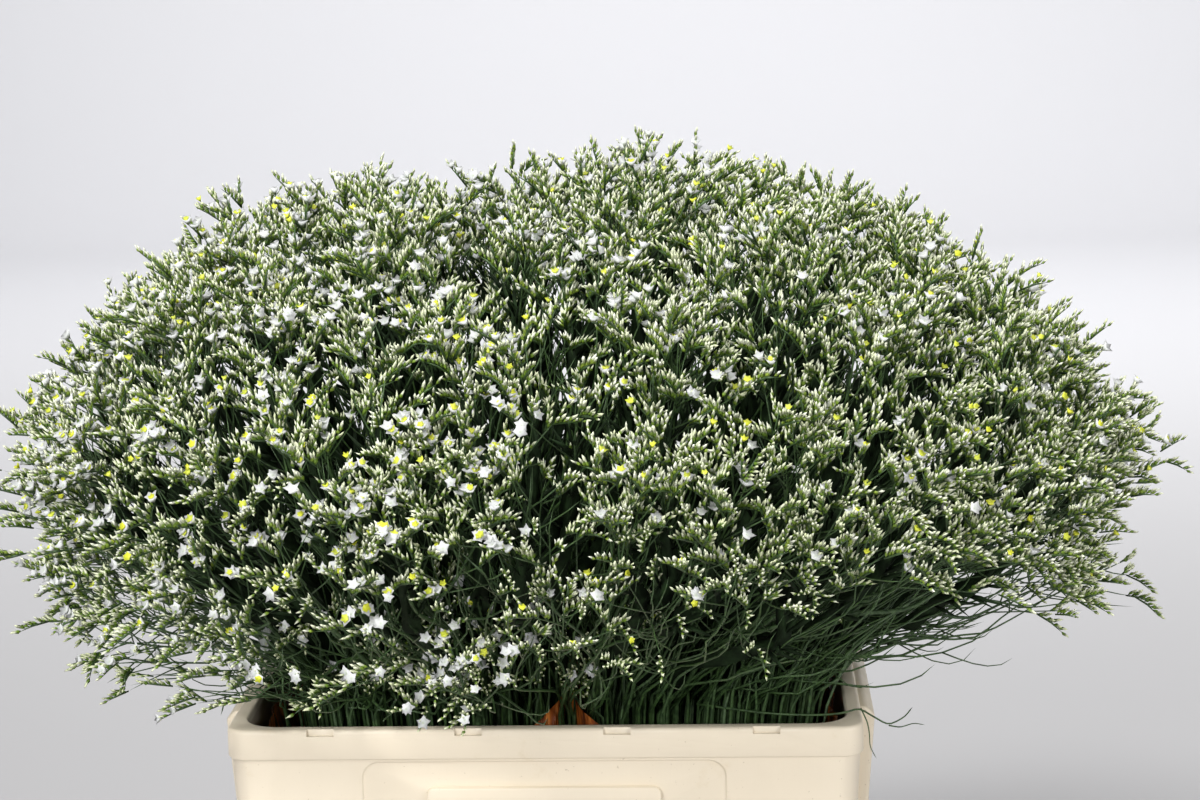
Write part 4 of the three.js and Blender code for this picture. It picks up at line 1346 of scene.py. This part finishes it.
def bucket_rings():
    """Sections of the shell: up its outside, over the lip, and down its inside to the floor."""
    top, under, lip_under = BUCKET_HEIGHT, BUCKET_HEIGHT - RIM_BAND, BUCKET_HEIGHT - LIP_THICKNESS
    rings = [wall_ring(run, FOOT_ROUND - rise) for run, rise in reversed(quarter_turn(FOOT_ROUND))]
    rings += [wall_ring(0, z) for z in (under * 0.35, under * 0.7, under - BAND_FILLET)]
    rings += [rim_ring(RIM_STEP - run, under - BAND_FILLET + rise) for run, rise in quarter_turn(BAND_FILLET)]
    rings += [rim_ring(0.4, under), rim_ring(0, under + 0.6)]
    rings += [rim_ring(run, top - LIP_ROUND + rise) for run, rise in quarter_turn(LIP_ROUND)]
    rings += [mouth_ring(rise - MOUTH_ROUND, top - run) for run, rise in quarter_turn(MOUTH_ROUND)]
    rings += [mouth_ring(0, lip_under), rim_ring(WALL, lip_under), wall_ring(WALL, under)]
    floor = FLOOR + INNER_FILLET
    return rings + [wall_ring(WALL + run, floor - rise) for run, rise in quarter_turn(INNER_FILLET)]


def faces_between(rings, count, closed=False):
    """Faces between rings of a count of points, and from the last to the first where it is closed."""
    faces = []
    for ring in range(rings if closed else rings - 1):
        a, b = ring * count, (ring + 1) % rings * count
        for i in range(count):
            j = (i + 1) % count
            faces.append((a + i, a + j, b + j, b + i))
    return faces


def skin_object(name, rings):
    """Closed object through rings of points with the same count, capped at both ends."""
    count = len(rings[0])
    first, last = tuple(reversed(range(count))), tuple((len(rings) - 1) * count + i for i in range(count))
    faces = [first, *faces_between(len(rings), count), last]
    mesh = bpy.data.meshes.new(name)
    mesh.from_pydata((np.concatenate(rings) * MM).tolist(), [], faces)
    mesh.update()
    return link(name, mesh)


def wall_plate(name, length, top, height, corner, layers, back):
    """Plate on a long side of the bucket. Its layers are insets and offsets out from the wall."""
    rings = []
    for inset, offset in layers:
        outline = rounded_ring(length - 2 * inset, height - 2 * inset, corner, 0)
        x, z = outline[:, 0], outline[:, 1] + BUCKET_HEIGHT - top - height / 2
        y = -wall_size(z)[1] / 2 - offset
        rings.append(np.stack([x, y, z], -1) * ([-1, -1, 1] if back else [1, 1, 1]))
    return skin_object(name, rings)


def grip_pad(name, sign):
    """Pad on a short end, whose outer face slopes in towards its lower edge."""
    top, proud = BUCKET_HEIGHT - GRIP_DROP, RIM_LENGTH / 2 + GRIP_PROUD
    outline = [
        (RIM_LENGTH / 2 - RIM_STEP - WALL + 1, top - 1),
        (RIM_LENGTH / 2 - GRIP_SLOPE, top - GRIP_HEIGHT),
        (proud - GRIP_SLOPE, top - GRIP_HEIGHT),
        (proud, top - GRIP_SLOPE),
        (proud - GRIP_SLOPE, top),
    ]
    rings = [
        np.array([(x * sign, y * sign, z) for x, z in outline]) for y in (-GRIP_LENGTH / 2, GRIP_LENGTH / 2)
    ]
    pad = skin_object(name, [ring[::-1] for ring in rings])
    round_edges(pad, GRIP_ROUND, 3)
    return pad


def box_object(name, size, place):
    """Cutter in the shape of a box."""
    half = np.array(size) / 2
    corners = [(-1, -1), (1, -1), (1, 1), (-1, 1)]
    rings = [np.array([(x, y, z) for x, y in corners]) * half + place for z in (-1, 1)]
    return skin_object(name, rings)


def apply_modifiers(obj):
    bpy.context.view_layer.update()
    depsgraph = bpy.context.evaluated_depsgraph_get()
    mesh = bpy.data.meshes.new_from_object(obj.evaluated_get(depsgraph), depsgraph=depsgraph)
    obj.modifiers.clear()
    obj.data = mesh


def combine(obj, other, operation):
    """Cuts the other object out of this one, or fuses it with this one, and removes it."""
    modifier = obj.modifiers.new("combine", "BOOLEAN")
    modifier.operation = operation
    modifier.solver = "EXACT"
    modifier.object = other
    apply_modifiers(obj)
    bpy.data.objects.remove(other)


def round_edges(obj, width, segments):
    modifier = obj.modifiers.new("round", "BEVEL")
    modifier.width = width * MM
    modifier.segments = segments
    modifier.limit_method = "ANGLE"
    modifier.angle_limit = math.radians(ROUND_ANGLE)
    apply_modifiers(obj)


def make_bucket():
    """Moulded bucket with a rim band, notches, sunken panels with ledges, and two grip pads."""
    bucket = skin_object("bucket_shell", bucket_rings())
    for sign in (-1, 1):
        combine(bucket, grip_pad("grip", sign), "UNION")
    panel = [(PANEL_DRAFT, -PANEL_DEPTH), (0, 0), (0, PANEL_DEPTH * 3)]
    ledge = [(0, -WALL / 2), (0, LEDGE_PROUD - 1), (0.4, LEDGE_PROUD - 0.3), (1.2, LEDGE_PROUD)]
    for back in (False, True):
        cutter = wall_plate("panel", PANEL_LENGTH, PANEL_TOP, PANEL_HEIGHT, PANEL_CORNER, panel, back)
        combine(bucket, cutter, "DIFFERENCE")
        plate = wall_plate("ledge", LEDGE_LENGTH, LEDGE_TOP, LEDGE_HEIGHT, LEDGE_TAB, ledge, back)
        combine(bucket, plate, "UNION")
        for step in NOTCH_STEPS:
            place = np.array([step * NOTCH_PITCH, RIM_WIDTH / 2 * (1 if back else -1), BUCKET_HEIGHT])
            size = (NOTCH_LENGTH, 2 * NOTCH_DEPTH, 2 * NOTCH_HEIGHT)
            combine(bucket, box_object("notch", size, place), "DIFFERENCE")
    round_edges(bucket, EDGE_ROUND, 2)
    bucket.data.materials.clear()
    bucket.data.materials.append(cream_material())
    bucket.data.polygons.foreach_set("use_smooth", np.ones(len(bucket.data.polygons), bool))
    bucket.data.set_sharp_from_angle(angle=math.radians(SHARP_ANGLE))
    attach(bucket, "root")
    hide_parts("bucket")


def even_ring(ring, count):
    """The same closed outline with evenly spaced points."""
    closed = np.concatenate([ring, ring[:1]])
    steps = np.linalg.norm(np.diff(closed, axis=0), axis=1)
    places = np.concatenate([[0], np.cumsum(steps)])
    wanted = np.arange(count) / count * places[-1]
    return np.stack([np.interp(wanted, places, closed[:, axis]) for axis in range(3)], -1)


def film_level(bunch, share):
    """Outline of a wrap at a share of its height, and how near each point is to the other bunch."""
    def size(level):
        reach_x, reach_y, gap, _ = level
        length = reach_x * (1 - bunch * BUNCH_SPLIT) + 2 * FILM_CLEARANCE
        centre = gap * bunch / 2 + reach_x * (BUNCH_SPLIT + bunch) / 2
        return np.array([length, 2 * (reach_y + FILM_CLEARANCE), centre])

    foot = size(FOOT_LEVEL)
    length, width, centre = foot + (size(MOUTH_LEVEL) - foot) * share
    ring = even_ring(rounded_ring(length, width, FILM_CORNER, 0), FILM_COLUMNS)
    inner = np.clip(-bunch * ring[:, 0] / (length / 2), 0, 1)
    top = FILM_OUTER_TOP + FILM_INNER_RISE * inner**4
    ring[:, 0] += centre
    return ring, top


def make_film(side, bunch):
    """Thin crumpled sleeve of film, with a tattered top that is highest by the other bunch."""
    columns = np.arange(FILM_COLUMNS) / FILM_COLUMNS * 2 * math.pi
    tatter = sum(np.sin(columns * count + start) / (1 + count / 12) for count, start in FILM_WAVES)
    outer, inner = [], []
    for row in range(FILM_ROWS):
        share = row / (FILM_ROWS - 1)
        ring, top = film_level(bunch, share)
        ring[:, 2] = FILM_FOOT + (top + tatter * FILM_TATTER * 0.5 - FILM_FOOT) * share
        tangent = unit(np.roll(ring, -1, 0) - np.roll(ring, 1, 0))
        outward = np.stack([tangent[:, 1], -tangent[:, 0], np.zeros(FILM_COLUMNS)], -1)
        crease = sum(
            np.sin(columns * count + start + row * (0.5 + count / 20)) / (1 + count / 20)
            for count, start in FILM_WAVES
        )
        depth = (crease * 0.6 + scatter(FILM_COLUMNS) * 0.5) * FILM_CRUMPLE * (0.3 + 0.7 * share)
        ring = ring + outward * depth[:, None]
        outer.append(ring)
        inner.append(ring - outward * FILM)
    rings = outer + inner[::-1]
    faces = np.array(faces_between(len(rings), FILM_COLUMNS, True))
    film = mesh_object(f"{side}_film", np.concatenate(rings), faces, [film_material()])
    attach(film, "root")
    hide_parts(f"{side}_wrap")


make_bucket()
make_film("left", -1)
make_film("right", 1)


# Studio

CAMERA_PLACE = (0.117, -1.75, 0.835)
CAMERA_YAW = 2.743
CAMERA_PITCH = 9.824
CAMERA_ROLL = 1.212
FOCAL_PIXELS = 2670
PHOTO_WIDTH = 1200
SENSOR = 36
WORLD_COLOUR = (0.97, 0.98, 1.0, 1)
WORLD_STRENGTH = 0.13
# Area lights: place, the point that each faces, length and width, and power
LIGHTS = {
    "key": ((-1.5, -2.0, 3.0), (0, 0, 0.45), (0.8, 0.7), 106),
    "front": ((-1.2, -3.4, 1.5), (0, 0, 0.42), (1.0, 0.9), 62),
    "fill": ((2.4, -2.2, 1.5), (0, 0, 0.4), (1.6, 1.4), 56),
    "top": ((0.2, 0.1, 3.1), (0, 0.1, 0.5), (1.8, 1.4), 36),
    "floor": ((1.0, 2.1, 3.2), (0.8, 4.4, 0), (3.4, 1.2), 82),
    "wall": ((-0.4, 3.4, 4.2), (-0.4, 7, 1.0), (5, 1.5), 128),
}


def make_camera():
    yaw, pitch, roll = (math.radians(a) for a in (CAMERA_YAW, CAMERA_PITCH, CAMERA_ROLL))
    forward = Vector((-math.sin(yaw) * math.cos(pitch), math.cos(yaw) * math.cos(pitch), -math.sin(pitch)))
    level = Vector((math.cos(yaw), math.sin(yaw), 0))
    upright = level.cross(forward)
    right = level * math.cos(roll) - upright * math.sin(roll)
    up = upright * math.cos(roll) + level * math.sin(roll)
    data = bpy.data.cameras.new("camera")
    data.sensor_width = SENSOR
    data.lens = SENSOR * FOCAL_PIXELS / PHOTO_WIDTH
    camera = link("camera", data)
    turn = Matrix((right, up, -forward)).transposed().to_4x4()
    camera.matrix_world = Matrix.Translation(CAMERA_PLACE) @ turn
    bpy.context.scene.camera = camera


def make_backdrop():
    """Pale floor that curves up into a wall far behind the bucket, so that there is room behind it."""
    width, front, back, radius, top, steps = 9, -7, 7, 1.5, 6, 16
    profile = [(front, 0), (back - radius, 0)]
    for step in range(1, steps + 1):
        angle = step / steps * math.pi / 2
        profile.append((back - radius + radius * math.sin(angle), radius - radius * math.cos(angle)))
    profile.append((back, top))
    points = np.array([(x, y, z) for x in (-width, width) for y, z in profile]) / MM
    size = len(profile)
    faces = np.array([(i, i + 1, size + i + 1, size + i) for i in range(size - 1)])[:, ::-1]
    backdrop = mesh_object("backdrop", points, faces, [backdrop_material()])


def make_lights():
    """Soft studio light: a faint even glow and the area lights."""
    world = bpy.data.worlds.new("studio")
    world.use_nodes = True
    background = world.node_tree.nodes["Background"]
    background.inputs["Color"].default_value = WORLD_COLOUR
    background.inputs["Strength"].default_value = WORLD_STRENGTH
    bpy.context.scene.world = world
    for name, (place, target, size, power) in LIGHTS.items():
        data = bpy.data.lights.new(name, "AREA")
        data.shape = "RECTANGLE"
        data.size, data.size_y = size
        data.energy = power
        light = link(name, data)
        light.location = place
        light.rotation_mode = "QUATERNION"
        light.rotation_quaternion = (Vector(target) - Vector(place)).to_track_quat("-Z", "Y")


make_camera()
make_backdrop()
make_lights()
bpy.context.scene.view_settings.view_transform = "Standard"
